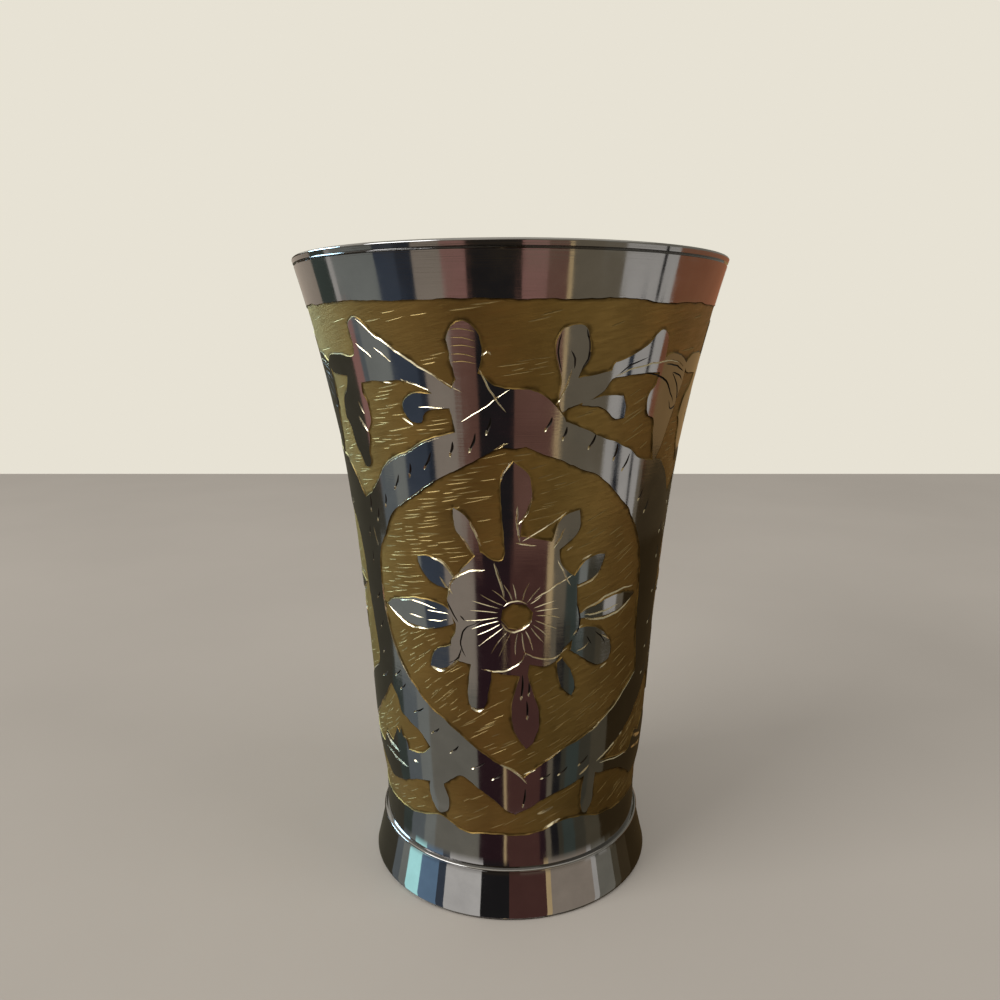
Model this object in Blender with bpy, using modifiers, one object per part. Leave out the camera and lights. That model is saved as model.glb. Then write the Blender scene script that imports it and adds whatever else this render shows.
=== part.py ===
"""Engraved brass tumbler: a spun wall on a turned foot, closed by a soldered floor disc.

Units are metres, +Z is up, and the origin is the centre of the foot's rest face. Every piece is turned
about the Z axis, so each one is a profile in the XZ plane with a Screw modifier. A profile runs down its
outer side first, and its heights count from the piece's own seat.
"""

import math

import bpy

# Whole cup
CUP_HEIGHT = 0.1200
RIM_RADIUS = 0.0407

# Wall
WALL_THICKNESS = 0.0012
FLARE_DEPTH = 0.0300  # from the rim down to where the wall starts to flare
FLARE_RADIUS = 0.0336
BELLY_RADIUS = 0.0296  # halfway between the flare and the top of the cove
COVE_HEIGHT = 0.0070  # from the waist up to where the cove runs into the belly
COVE_RADIUS = 0.0270
WAIST_RISE = 0.0060  # from the foot's shoulder up to the waist
WAIST_RADIUS = 0.0261
SKIRT_SPREAD = 0.0005  # how much wider the wall's lower end is than the waist

# Lip
RIM_ROUND = 0.0004
LIP_HEIGHT = 0.0013  # from the rim down to the middle of the turned groove
GROOVE_WIDTH = 0.0005
GROOVE_DEPTH = 0.0003

# Foot
FOOT_HEIGHT = 0.0090  # up to the shoulder that carries the wall
FOOT_RADIUS = 0.0286
FOOT_WALL = 0.0020
FOOT_EDGE_ROUND = 0.0005
REST_WIDTH = 0.0022  # the flat ring that the cup stands on, with its rounded edge
LEDGE_WIDTH = 0.0004  # how far the shoulder shows outside the wall
SHOULDER_THICKNESS = 0.0020
SPIGOT_HEIGHT = 0.0030  # the collar that stands up inside the wall
SPIGOT_WALL = 0.0017

# Floor and solder
FLOOR_THICKNESS = 0.0015
SEAM_LEG = 0.0016
SEAM_TOE = 0.0003  # thickness of a solder fillet where it runs out
SEAM_GAP = 0.0003  # clearance between pieces that are soldered together

# Fineness of the turned surfaces
TURN_STEPS = 72
OUTER_RINGS = 26
INNER_RINGS = 18
ARC_STEPS = 4

COLLECTION_NAME = "brass_cup"

# Base colour, roughness and metallic value of each finish
DARK_PLATING = ((0.16, 0.16, 0.17, 1.0), 0.15, 1.0)
BARE_BRASS = ((0.50, 0.36, 0.14, 1.0), 0.35, 1.0)
SOFT_SOLDER = ((0.42, 0.42, 0.42, 1.0), 0.45, 1.0)


def clear_scene():
    """Remove every object that the file starts with."""
    for obj in list(bpy.data.objects):
        bpy.data.objects.remove(obj, do_unlink=True)


def wall_stations():
    """Heights and outer radii that the wall's curve passes through, lowest first."""
    waist = FOOT_HEIGHT + WAIST_RISE
    cove = waist + COVE_HEIGHT
    flare = CUP_HEIGHT - FLARE_DEPTH
    return [
        (wall_seat(), WAIST_RADIUS + SKIRT_SPREAD),
        (waist, WAIST_RADIUS),
        (cove, COVE_RADIUS),
        ((cove + flare) / 2, BELLY_RADIUS),
        (flare, FLARE_RADIUS),
        (CUP_HEIGHT, RIM_RADIUS),
    ]


def wall_seat():
    """Height of the wall's lower end, above the foot's shoulder."""
    return FOOT_HEIGHT + SEAM_GAP


def floor_seat():
    """Height of the floor's underside, above the foot's spigot."""
    return FOOT_HEIGHT + SPIGOT_HEIGHT + SEAM_GAP


def station_slopes(stations):
    """Radius per height at each station: level where the curve turns back, otherwise a blend of both sides."""
    spans = [high[0] - low[0] for low, high in zip(stations, stations[1:])]
    rises = [(high[1] - low[1]) / span for low, high, span in zip(stations, stations[1:], spans)]
    inner = []
    for index in range(len(rises) - 1):
        below, above = rises[index], rises[index + 1]
        if below * above <= 0:
            inner.append(0.0)
            continue
        weighted = below * spans[index + 1] + above * spans[index]
        inner.append(weighted / (spans[index] + spans[index + 1]))
    return [2 * rises[0] - inner[0], *inner, 2 * rises[-1] - inner[-1]]


def wall_radius(height):
    """Outer radius of the wall at a height, on cubic curves through the stations."""
    stations = wall_stations()
    slopes = station_slopes(stations)
    last = len(stations) - 2
    span_index = next((i for i in range(last) if height <= stations[i + 1][0]), last)
    (low, low_radius), (high, high_radius) = stations[span_index : span_index + 2]
    span = high - low
    t = (height - low) / span
    start_pull = slopes[span_index] * span
    end_pull = slopes[span_index + 1] * span
    return (
        low_radius * (1 + 2 * t) * (1 - t) ** 2
        + start_pull * t * (1 - t) ** 2
        + high_radius * t * t * (3 - 2 * t)
        + end_pull * t * t * (t - 1)
    )


def bore_radius(low, high):
    """Largest radius that clears the wall's inside between two heights."""
    steps = range(INNER_RINGS + 1)
    heights = [low + (high - low) * step / INNER_RINGS for step in steps]
    return min(wall_radius(height) for height in heights) - WALL_THICKNESS - SEAM_GAP


def spigot_radius():
    """Outer radius of the foot's spigot, inside the wall's lower end."""
    return bore_radius(wall_seat(), FOOT_HEIGHT + SPIGOT_HEIGHT)


def arc(centre, radius, start_degrees, end_degrees):
    """Points of a circular arc in the profile plane."""
    points = []
    for step in range(ARC_STEPS + 1):
        angle = math.radians(start_degrees + (end_degrees - start_degrees) * step / ARC_STEPS)
        points.append((centre[0] + radius * math.cos(angle), centre[1] + radius * math.sin(angle)))
    return points


def finish(name, values):
    """Principled material with the piece's own colour, roughness and metallic value."""
    colour, roughness, metallic = values
    material = bpy.data.materials.new(name)
    material.use_nodes = True
    shader = material.node_tree.nodes["Principled BSDF"]
    shader.inputs["Base Color"].default_value = colour
    shader.inputs["Roughness"].default_value = roughness
    shader.inputs["Metallic"].default_value = metallic
    return material


def turned_piece(name, profile, seat, values, closed=True):
    """Object with a profile of (radius, height) points turned a full circle about Z."""
    count = len(profile)
    edges = [(i, i + 1) for i in range(count - 1)]
    if closed:
        edges.append((count - 1, 0))
    mesh = bpy.data.meshes.new(name)
    mesh.from_pydata([(radius, 0.0, height) for radius, height in profile], edges, [])
    mesh.materials.append(finish(name, values))
    piece = bpy.data.objects.new(name, mesh)
    piece.location.z = seat
    turn = piece.modifiers.new("Turn", "SCREW")
    turn.axis = "Z"
    turn.angle = math.tau
    turn.steps = TURN_STEPS
    turn.render_steps = TURN_STEPS
    turn.use_merge_vertices = True
    turn.merge_threshold = 0.00001
    turn.use_smooth_shade = True
    return piece


def body_shell():
    """Thin spun wall: rounded rim, turned groove under the lip, flare, belly, cove and waist."""
    seat = wall_seat()
    rim_round = min(RIM_ROUND, WALL_THICKNESS / 2.2)
    rim_start = CUP_HEIGHT - rim_round
    groove = CUP_HEIGHT - LIP_HEIGHT
    groove_top = groove + GROOVE_WIDTH / 2
    groove_bottom = groove - GROOVE_WIDTH / 2
    rim_outside = wall_radius(rim_start)
    rim_inside = rim_outside - WALL_THICKNESS
    profile = arc((rim_outside - rim_round, rim_start), rim_round, 90, 0)
    profile.append((wall_radius(groove_top), groove_top))
    profile.append((wall_radius(groove) - GROOVE_DEPTH, groove))
    for ring in range(OUTER_RINGS + 1):
        height = groove_bottom + (seat - groove_bottom) * ring / OUTER_RINGS
        profile.append((wall_radius(height), height))
    for ring in range(INNER_RINGS):
        height = seat + (rim_start - seat) * ring / INNER_RINGS
        profile.append((wall_radius(height) - WALL_THICKNESS, height))
    profile += arc((rim_inside + rim_round, rim_start), rim_round, 180, 90)
    local = [(radius, height - seat) for radius, height in profile]
    return turned_piece("body_shell", local, seat, DARK_PLATING)


def foot_ring():
    """Turned foot: a flared skirt, the shoulder under the wall and a spigot inside it."""
    spigot = spigot_radius()
    bore = spigot - SPIGOT_WALL
    spigot_top = FOOT_HEIGHT + SPIGOT_HEIGHT
    shoulder = WAIST_RADIUS + SKIRT_SPREAD + LEDGE_WIDTH
    edge = min(FOOT_EDGE_ROUND, REST_WIDTH / 2)
    web_bottom = FOOT_HEIGHT - SHOULDER_THICKNESS
    profile = [(spigot, spigot_top), (spigot, FOOT_HEIGHT), (shoulder, FOOT_HEIGHT)]
    profile += arc((FOOT_RADIUS - edge, edge), edge, 0, -90)
    profile += [
        (FOOT_RADIUS - REST_WIDTH, 0.0),
        (shoulder - FOOT_WALL, web_bottom),
        (bore, web_bottom),
        (bore, spigot_top),
    ]
    return turned_piece("foot_ring", profile, 0.0, DARK_PLATING)


def floor_disc():
    """Flat plate inside the wall, resting on the foot's spigot."""
    seat = floor_seat()
    radius = bore_radius(seat, seat + FLOOR_THICKNESS)
    profile = [(0.0, FLOOR_THICKNESS), (radius, FLOOR_THICKNESS), (radius, 0.0), (0.0, 0.0)]
    return turned_piece("floor_disc", profile, seat, BARE_BRASS, closed=False)


def floor_seam():
    """Solder fillet that stands on the floor's edge, against the wall."""
    seat = floor_seat() + FLOOR_THICKNESS + SEAM_GAP
    outside = bore_radius(seat, seat + SEAM_LEG)
    toe = min(SEAM_TOE, SEAM_LEG / 2)
    hollow = arc((outside - SEAM_LEG, SEAM_LEG), SEAM_LEG - toe, -90, 0)
    profile = [(outside, SEAM_LEG), (outside, 0.0), (outside - SEAM_LEG, 0.0), *hollow]
    return turned_piece("floor_seam", profile, seat, SOFT_SOLDER)


def foot_seam():
    """Solder fillet that hangs under the floor, inside the foot's spigot."""
    seat = floor_seat() - SEAM_GAP - SEAM_LEG
    outside = spigot_radius() - SPIGOT_WALL - SEAM_GAP
    toe = min(SEAM_TOE, SEAM_LEG / 2)
    hollow = arc((outside - SEAM_LEG, 0.0), SEAM_LEG - toe, 0, 90)
    profile = [(outside, SEAM_LEG), (outside, 0.0), *hollow, (outside - SEAM_LEG, SEAM_LEG)]
    return turned_piece("foot_seam", profile, seat, SOFT_SOLDER)


def main():
    clear_scene()
    collection = bpy.data.collections.new(COLLECTION_NAME)
    bpy.context.scene.collection.children.link(collection)
    base = bpy.data.objects.new("cup_base", None)
    collection.objects.link(base)
    for piece in (body_shell(), foot_ring(), floor_disc(), floor_seam(), foot_seam()):
        piece.parent = base
        collection.objects.link(piece)


main()
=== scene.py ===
"""Engraved brass tumbler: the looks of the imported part, laid out as a Blender add-on.

The ornament is drawn flat, in degrees round the cup and millimetres above its foot, for one of three
repeats. Degree 0 faces the camera and degrees grow to the right. The drawing is cut into one sheet of
triangles, the ground and the grooves are sunk into it, and it is wrapped round the wall of the CAD part.
"""

import math
import random

import bmesh
import bpy
import numpy as np
from bpy.props import FloatProperty, FloatVectorProperty, PointerProperty
from bpy.types import Operator, Panel, PropertyGroup
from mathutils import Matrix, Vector, noise
from mathutils.geometry import delaunay_2d_cdt, interpolate_bezier


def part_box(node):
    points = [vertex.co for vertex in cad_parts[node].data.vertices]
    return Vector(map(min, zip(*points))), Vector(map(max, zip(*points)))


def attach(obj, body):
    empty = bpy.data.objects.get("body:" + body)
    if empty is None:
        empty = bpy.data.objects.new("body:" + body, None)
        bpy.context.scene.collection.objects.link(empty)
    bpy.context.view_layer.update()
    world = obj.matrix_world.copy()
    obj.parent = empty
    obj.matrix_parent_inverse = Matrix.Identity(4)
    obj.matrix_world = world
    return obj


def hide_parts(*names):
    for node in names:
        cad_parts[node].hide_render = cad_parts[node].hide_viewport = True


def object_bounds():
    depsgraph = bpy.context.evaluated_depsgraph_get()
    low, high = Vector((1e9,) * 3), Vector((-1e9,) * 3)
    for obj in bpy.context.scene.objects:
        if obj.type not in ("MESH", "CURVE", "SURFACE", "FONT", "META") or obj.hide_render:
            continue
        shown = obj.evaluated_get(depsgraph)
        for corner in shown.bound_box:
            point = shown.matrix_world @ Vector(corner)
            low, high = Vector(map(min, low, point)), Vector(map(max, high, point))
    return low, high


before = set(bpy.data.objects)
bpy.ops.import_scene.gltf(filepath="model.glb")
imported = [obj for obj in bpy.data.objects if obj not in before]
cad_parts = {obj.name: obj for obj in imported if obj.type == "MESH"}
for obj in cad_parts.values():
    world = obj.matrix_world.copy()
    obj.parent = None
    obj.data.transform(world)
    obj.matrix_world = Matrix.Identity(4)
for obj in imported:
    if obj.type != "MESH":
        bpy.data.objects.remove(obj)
CAD_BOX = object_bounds()

bl_info = {
    "name": "Engraved Brass Tumbler",
    "version": (1, 0, 0),
    "blender": (4, 5, 0),
    "location": "View3D > Sidebar > Tumbler",
    "description": "Models the engraved wall, the foot, the floor and the solder of a brass tumbler",
    "category": "Add Mesh",
}

# Flat drawing, in millimetres
REPEATS = 3
DRAWING_RADIUS = 30.0
MM_PER_DEGREE = math.radians(1.0) * DRAWING_RADIUS
REPEAT_WIDTH = 360.0 / REPEATS * MM_PER_DEGREE
SHEET_WIDTH = REPEATS * REPEAT_WIDTH
SHEET_BOTTOM = 14.5
SHEET_TOP = 113.0
SEAM_STEPS = 120  # points up the seam at the back
TURN_STEPS = 288  # points round the sheet and the turned bands that it joins
OUTLINE_STEP = 0.55
CUT_STEP = 0.6
WALL_RUN = 0.17  # from a plated edge to the foot of the cut wall under it
CLEARANCE = 0.3
DOT_SPACING = 1.3
DOT_ROW_SHARE = 0.87  # distance of the rows of dots as a share of the spacing in a row
WELD = 0.008  # points of the sheet that are nearer than this become one
WANDER_SEED = 2  # of the small unevenness of handwork
MEDALLION_PULL = 3.2  # how far the medallion to the left was set too close to the front one

# Turned pieces, in metres where they have a unit
MERGE_DISTANCE = 0.000002
GROOVE_REGION = 0.0014  # from the rim down past the middle of the turned groove
RIM_ROUND = 0.34  # radius of the rim's edges as a share of the wall's thickness
LEDGE_WIDTH = 0.0004
LEDGE_CLEARANCE = 0.00002  # between the ledge and the wall over it
SPIGOT_WALL = 0.0017
FOOT_WALL = 0.0020
FOOT_EDGE_ROUND = 0.0005
REST_WIDTH = 0.0022
WEB_HEIGHT = 0.0070
FLARE_BEND = 0.1  # share of the foot's flare that grows towards its edge
FLOOR_EDGE_ROUND = 0.0002
FLOOR_DISH = 0.00012  # depth of the turning mark in the middle of the floor
FLOOR_RIPPLE = 0.00003
FLOOR_RIPPLE_DEPTH = 0.00004  # from the floor's top to the middle of its ripple
FLOOR_RIPPLE_TURN = 5200  # radians per metre
SOLDER_TOE = 0.0003
SOLDER_LUMP = 0.00012
SOLDER_LUMPS = 260  # lumps per metre
SKIRT_SHARE = 0.3  # how much of the CAD wall's spread its lower end keeps

# What a closed shape of the drawing is, the higher one winning where shapes overlap
PLATE, FIELD, ISLAND, CELL, CUT, SCRIBE, STROKE = range(7)

# Chisel strokes of the ground: spacing of the rows, lengths, gaps, half widths, distance from other points
# and depth, how many degrees the facets lean to the right at the foot and at the rim, and the share of
# strokes in each zone
ROW_PITCH = 0.74
STROKE_LENGTH = (1.8, 5.0)
STROKE_GAP = (0.2, 0.8)
STROKE_HALF_WIDTH = (0.08, 0.15)
STROKE_CLEARANCE = 0.18
STROKE_DEPTH = 0.05
CHISEL_LEANS = (16.0, 11.0)
STROKE_SHARE = {"upper": 0.9, "medallion": 0.95, "spandrel": 0.9, "lower": 0.45, "cell": 0.7}

MEDALLION = (
    (
        (0, 89.6), (15, 86.3), (20, 85), (27, 83.3), (31.5, 81.3), (40, 77), (45.8, 72.5), (50, 66.7),
        (51, 61.5), (52.5, 53.3), (55, 44.8),
    ),
    ((55, 44.8), (45, 40.4), (40, 38.5), (30, 35.2), (19.5, 33.3), (12, 31), (5.2, 28.2)),
    (
        (5.2, 28.2), (-4, 31), (-10, 32.8), (-19, 36.5), (-26.5, 39.5), (-32, 41.3), (-38, 44.3),
        (-45.5, 49.5), (-49.2, 55), (-50.8, 62.5), (-50, 67.5), (-45.8, 71.7), (-40, 76.3), (-30, 80),
        (-22, 83), (-10, 86.7), (0, 89.6),
    ),
)
SPANDREL = (
    ((-51.5, 42.3), (-61.4, 37), (-66, 34.8), (-71, 33), (-76, 31.3), (-83.5, 28.9)),
    ((-83.5, 28.9), (-74, 28), (-66, 27.5), (-63.6, 27.9), (-62.2, 29.6), (-60.3, 30.7), (-56.5, 30),
     (-45, 30), (-37, 30.3), (-31.8, 32.3)),
    ((-31.8, 32.3), (-37, 35), (-42, 36.3), (-45.5, 37.3), (-48, 40), (-51.5, 42.3)),
)
UPPER_BELT_FOOT = (
    ((-54.5, 78), (-49, 79.5), (-45, 81.8), (-41, 84.7), (-36, 86.2), (-30, 87.6), (-25, 89.3),
     (-20, 90.5), (-14, 91.2), (0, 92.5), (15, 93)),
    ((15, 93), (20, 91.9), (26, 90.3), (32, 89), (37, 87.8), (41, 86), (48, 85.3), (54, 84.6),
     (60, 81.8), (65.5, 78)),
)
UPPER_BELT_HEAD = (
    ((-54.5, 111.5), (-40, 111.8), (-22, 111.5), (-8, 111.7), (9, 111.5), (24, 111.9), (40, 111.4),
     (53, 111.7), (65.5, 111.5)),
)
LOWER_BELT_FOOT = (
    ((-54, 15.8), (-40, 16.5), (-34, 17.4), (-30, 18), (-25, 17.2), (-20, 16), (-8, 16.1), (2, 15.9),
     (13, 16.3), (21, 17.8), (28, 17.9), (36, 17), (50, 16), (66, 15.8)),
)
LOWER_BELT_HEAD = (
    ((-54, 21.8), (-47, 23), (-38, 24.6), (-33.5, 25), (-26.5, 25.3), (-23.5, 26.5), (-18.5, 27.7),
     (-13, 26), (-9, 24.5), (-3, 22), (2, 20.4)),
    ((2, 20.4), (8, 22), (13, 23.6), (20, 25), (26, 26.2), (31, 27), (36, 26.5), (45, 25.6), (52, 24.2),
     (57, 22.6), (60, 21.4), (66, 21.8)),
)

# Plated shapes left standing in the ground, each with corners between its runs
VASE = (((-15, 90), (-15.6, 97), (-13.5, 99.5), (-8, 100.5), (-4, 98.7), (2, 98), (6, 97.6), (12, 95.3),
         (15, 93.2), (14, 90)), ((14, 90), (0, 88.6), (-15, 90)))
LEFT_BUD = (((-13.5, 99.5), (-15.2, 103.5), (-15.3, 106), (-13.5, 107.8), (-11, 108.3), (-8.5, 107.3),
             (-7, 105), (-7.3, 102), (-8.5, 99.8)), ((-8.5, 99.8), (-11, 98.8), (-13.5, 99.5)))
RIGHT_BUD = (((12.5, 96), (12.8, 100), (11.3, 103), (11, 105.5), (12.5, 107.2), (15.5, 107.9),
              (18, 107.4), (19.4, 105.5), (19.2, 102.5), (17.5, 100.5), (16, 98), (15.5, 95.5)),
             ((15.5, 95.5), (14, 94.5), (12.5, 96)))
LEFT_WING = (
    ((-13, 97.3), (-20, 100.2), (-30, 104), (-38.5, 107.6), (-41.5, 109), (-44.2, 108.3), (-44.6, 105)),
    ((-44.6, 105), (-45.5, 103.2), (-53, 103.3), (-61, 102.7), (-62.8, 101.4), (-60.5, 100.2),
     (-54, 99.8), (-49, 99.6), (-44.6, 98.8)),
    ((-44.6, 98.8), (-36, 99.3), (-29, 99.4), (-21, 97.8), (-15, 94.8)),
    ((-15, 94.8), (-12.5, 96), (-13, 97.3)),
)
POD = (
    ((-50.5, 100.5), (-53.5, 97.3), (-57, 95.6), (-58.4, 92.4)),
    ((-58.4, 92.4), (-56.5, 91.2), (-55, 88), (-52.5, 85.5), (-50, 83.8), (-48, 84.5), (-47.2, 87),
     (-45.6, 90), (-43.9, 92.3), (-43.7, 94.5), (-45, 97), (-45, 99.2)),
    ((-45, 99.2), (-47.5, 100.2), (-50.5, 100.5)),
)
LEFT_LOW_LEAF = (
    ((-15, 97.8), (-22, 97.5), (-26.5, 97.2), (-29.7, 95.8), (-29.5, 94.2), (-27.5, 92.6), (-25, 92.7),
     (-23.3, 94.3), (-19, 95), (-15, 95)),
    ((-15, 95), (-13.5, 96.4), (-15, 97.8)),
)
RIGHT_WING = (
    ((16.5, 99.8), (21, 100.2), (26.2, 101)),
    ((26.2, 101), (26.5, 101.9), (30.2, 102.8), (37.4, 105), (41.5, 107.2), (43.6, 106.6),
     (44.8, 103.5), (44.6, 100.3)),
    ((44.6, 100.3), (37, 100.3), (31, 100), (27, 99.6), (25.3, 98), (23, 97), (19, 95.8), (15, 95.2)),
    ((15, 95.2), (14.6, 97.6), (16.5, 99.8)),
)
RIGHT_LOW_LEAF = (
    ((20, 96.2), (25.4, 97), (31.6, 96.8)),
    ((31.6, 96.8), (32.6, 95), (32.8, 93.2)),
    ((32.8, 93.2), (30, 93.2), (28, 94), (25, 95.2), (19, 95.4)),
    ((19, 95.4), (19, 96), (20, 96.2)),
)
RIGHT_POD = (
    ((43.6, 99.9), (42.8, 98), (41.2, 96.6), (40.7, 95.2), (41.3, 94), (42.4, 93.2)),
    ((42.4, 93.2), (44.6, 92.8), (46.4, 90), (48, 86.6), (49.6, 84.4)),
    ((49.6, 84.4), (52, 87.4), (54.5, 91.4), (56.8, 95.4), (58, 99), (57.6, 101.8)),
    ((57.6, 101.8), (52, 103.2), (46.5, 103.2), (44, 102.6)),
    ((44, 102.6), (43.6, 99.9)),
)
TOP_LEAF = (
    ((-1.7, 71.6), (-2, 75), (-2.7, 79.6), (-2.8, 82.8), (-1.2, 85.1), (0.45, 86.4)),
    ((0.45, 86.4), (3.2, 85.3), (5.2, 83.8), (6.4, 81.3), (5.6, 78.2), (3.6, 76), (3.1, 74), (3.2, 71.6)),
    ((3.2, 71.6), (0.5, 70.8), (-1.7, 71.6)),
)
BOTTOM_LEAF = (
    ((3.4, 50.4), (3, 48), (1.5, 45), (0.3, 42), (0.4, 39.8), (2, 37), (4.1, 35.2), (5.8, 34.2)),
    ((5.8, 34.2), (8, 35.6), (9.8, 38), (10.2, 40), (9.4, 42.5), (7.7, 45), (6, 48), (6.4, 50.6)),
    ((6.4, 50.6), (3.4, 50.4)),
)
COROLLA = (
    ((-1.5, 72), (1, 73.5), (11, 73)),
    ((11, 73), (14.4, 72.4), (15, 70.2), (17.5, 67.6), (21.5, 66)),
    ((21.5, 66), (22, 62), (23.6, 58.5), (23.3, 55.5), (19, 53.3), (16, 51), (12, 50), (6, 50.5)),
    ((6, 50.5), (5, 48.5), (1, 48.5), (-4, 48.8), (-10.5, 49.5), (-14, 50.2), (-17.5, 50.6), (-20, 52),
     (-20.4, 54.4), (-18.8, 56.2), (-18.8, 57.6), (-19.9, 58.9), (-21, 61), (-20.2, 64.2), (-16, 67.3),
     (-11.5, 70)),
    ((-11.5, 70), (-9, 71), (-6.5, 69.8), (-4, 69.5), (-2.5, 70), (-1.5, 72)),
)
RIGHT_BLOOM = (
    ((21, 52.4), (25, 50.9), (30, 49.2), (34, 48.6), (37.2, 49.3)),
    ((37.2, 49.3), (38.2, 51.3), (37.2, 53.3)),
    ((37.2, 53.3), (33, 55.5), (29, 56.4), (25.5, 56.6), (22.5, 56.2)),
    ((22.5, 56.2), (21, 52.4)),
)
STEM_LEAF = (
    ((-13.5, 50.4), (-14.6, 47), (-15.2, 44.4), (-14.9, 42.5), (-13.4, 41.5)),
    ((-13.4, 41.5), (-10.4, 41.7), (-8.6, 43), (-7.5, 45.4), (-6.4, 48), (-5.8, 49.8)),
    ((-5.8, 49.8), (-9, 51), (-13.5, 50.4)),
)
THREE_POINT_LEAF = (
    ((-55, 29.5), (-52, 31.8), (-50.5, 33.3)),
    ((-50.5, 33.3), (-49, 32.2)),
    ((-49, 32.2), (-47.8, 33.6)),
    ((-47.8, 33.6), (-46.6, 32), (-45, 31.8), (-43.5, 29.5)),
    ((-43.5, 29.5), (-49, 29), (-55, 29.5)),
)
LOW_LEFT_BUD = (((-33, 26.2), (-33.6, 23), (-33, 20.5), (-30, 18.6), (-26.5, 19.4), (-24.8, 22),
                 (-26.6, 24.7), (-26.3, 26.5)), ((-26.3, 26.5), (-33, 26.2)))
LOW_RIGHT_BUD = (((29.8, 27.5), (29.2, 22.5), (29.6, 19.8), (32, 18.3), (34.2, 19.6), (34.8, 23),
                  (35, 28)), ((35, 28), (29.8, 27.5)))
ISLANDS = (
    VASE, LEFT_BUD, RIGHT_BUD, LEFT_WING, POD, LEFT_LOW_LEAF, RIGHT_WING, RIGHT_LOW_LEAF, RIGHT_POD,
    COROLLA, TOP_LEAF, BOTTOM_LEAF, RIGHT_BLOOM, STEM_LEAF,
    THREE_POINT_LEAF, LOW_LEFT_BUD, LOW_RIGHT_BUD,
)

# Leaves round the flower: base, tip, half width in millimetres, where it is widest, half width of the base
LEAVES = (
    ((-9.5, 69.8), (-17, 78.5), 1.35, 0.6, 0.3),
    ((-17.5, 64.2), (-31.4, 69.3), 2.15, 0.55, 0.4),
    ((-19.5, 58.7), (-48.6, 58.7), 2.35, 0.47, 1.0),
    ((-17, 53.6), (-29, 48.7), 1.8, 0.55, 0.4),
    ((17, 51), (22.3, 43.8), 1.3, 0.6, 0.6),
    ((22.5, 58.6), (48, 60.6), 1.5, 0.58, 0.3),
    ((20.5, 64.9), (32, 69.6), 1.6, 0.58, 0.6),
    ((13, 71.3), (21.5, 78), 1.75, 0.6, 0.7),
)
DISC_CENTRE = (1.9, 59.6)
DISC_SIZE = (2.8, 2.55)
DISC_SIDES = 8

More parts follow.
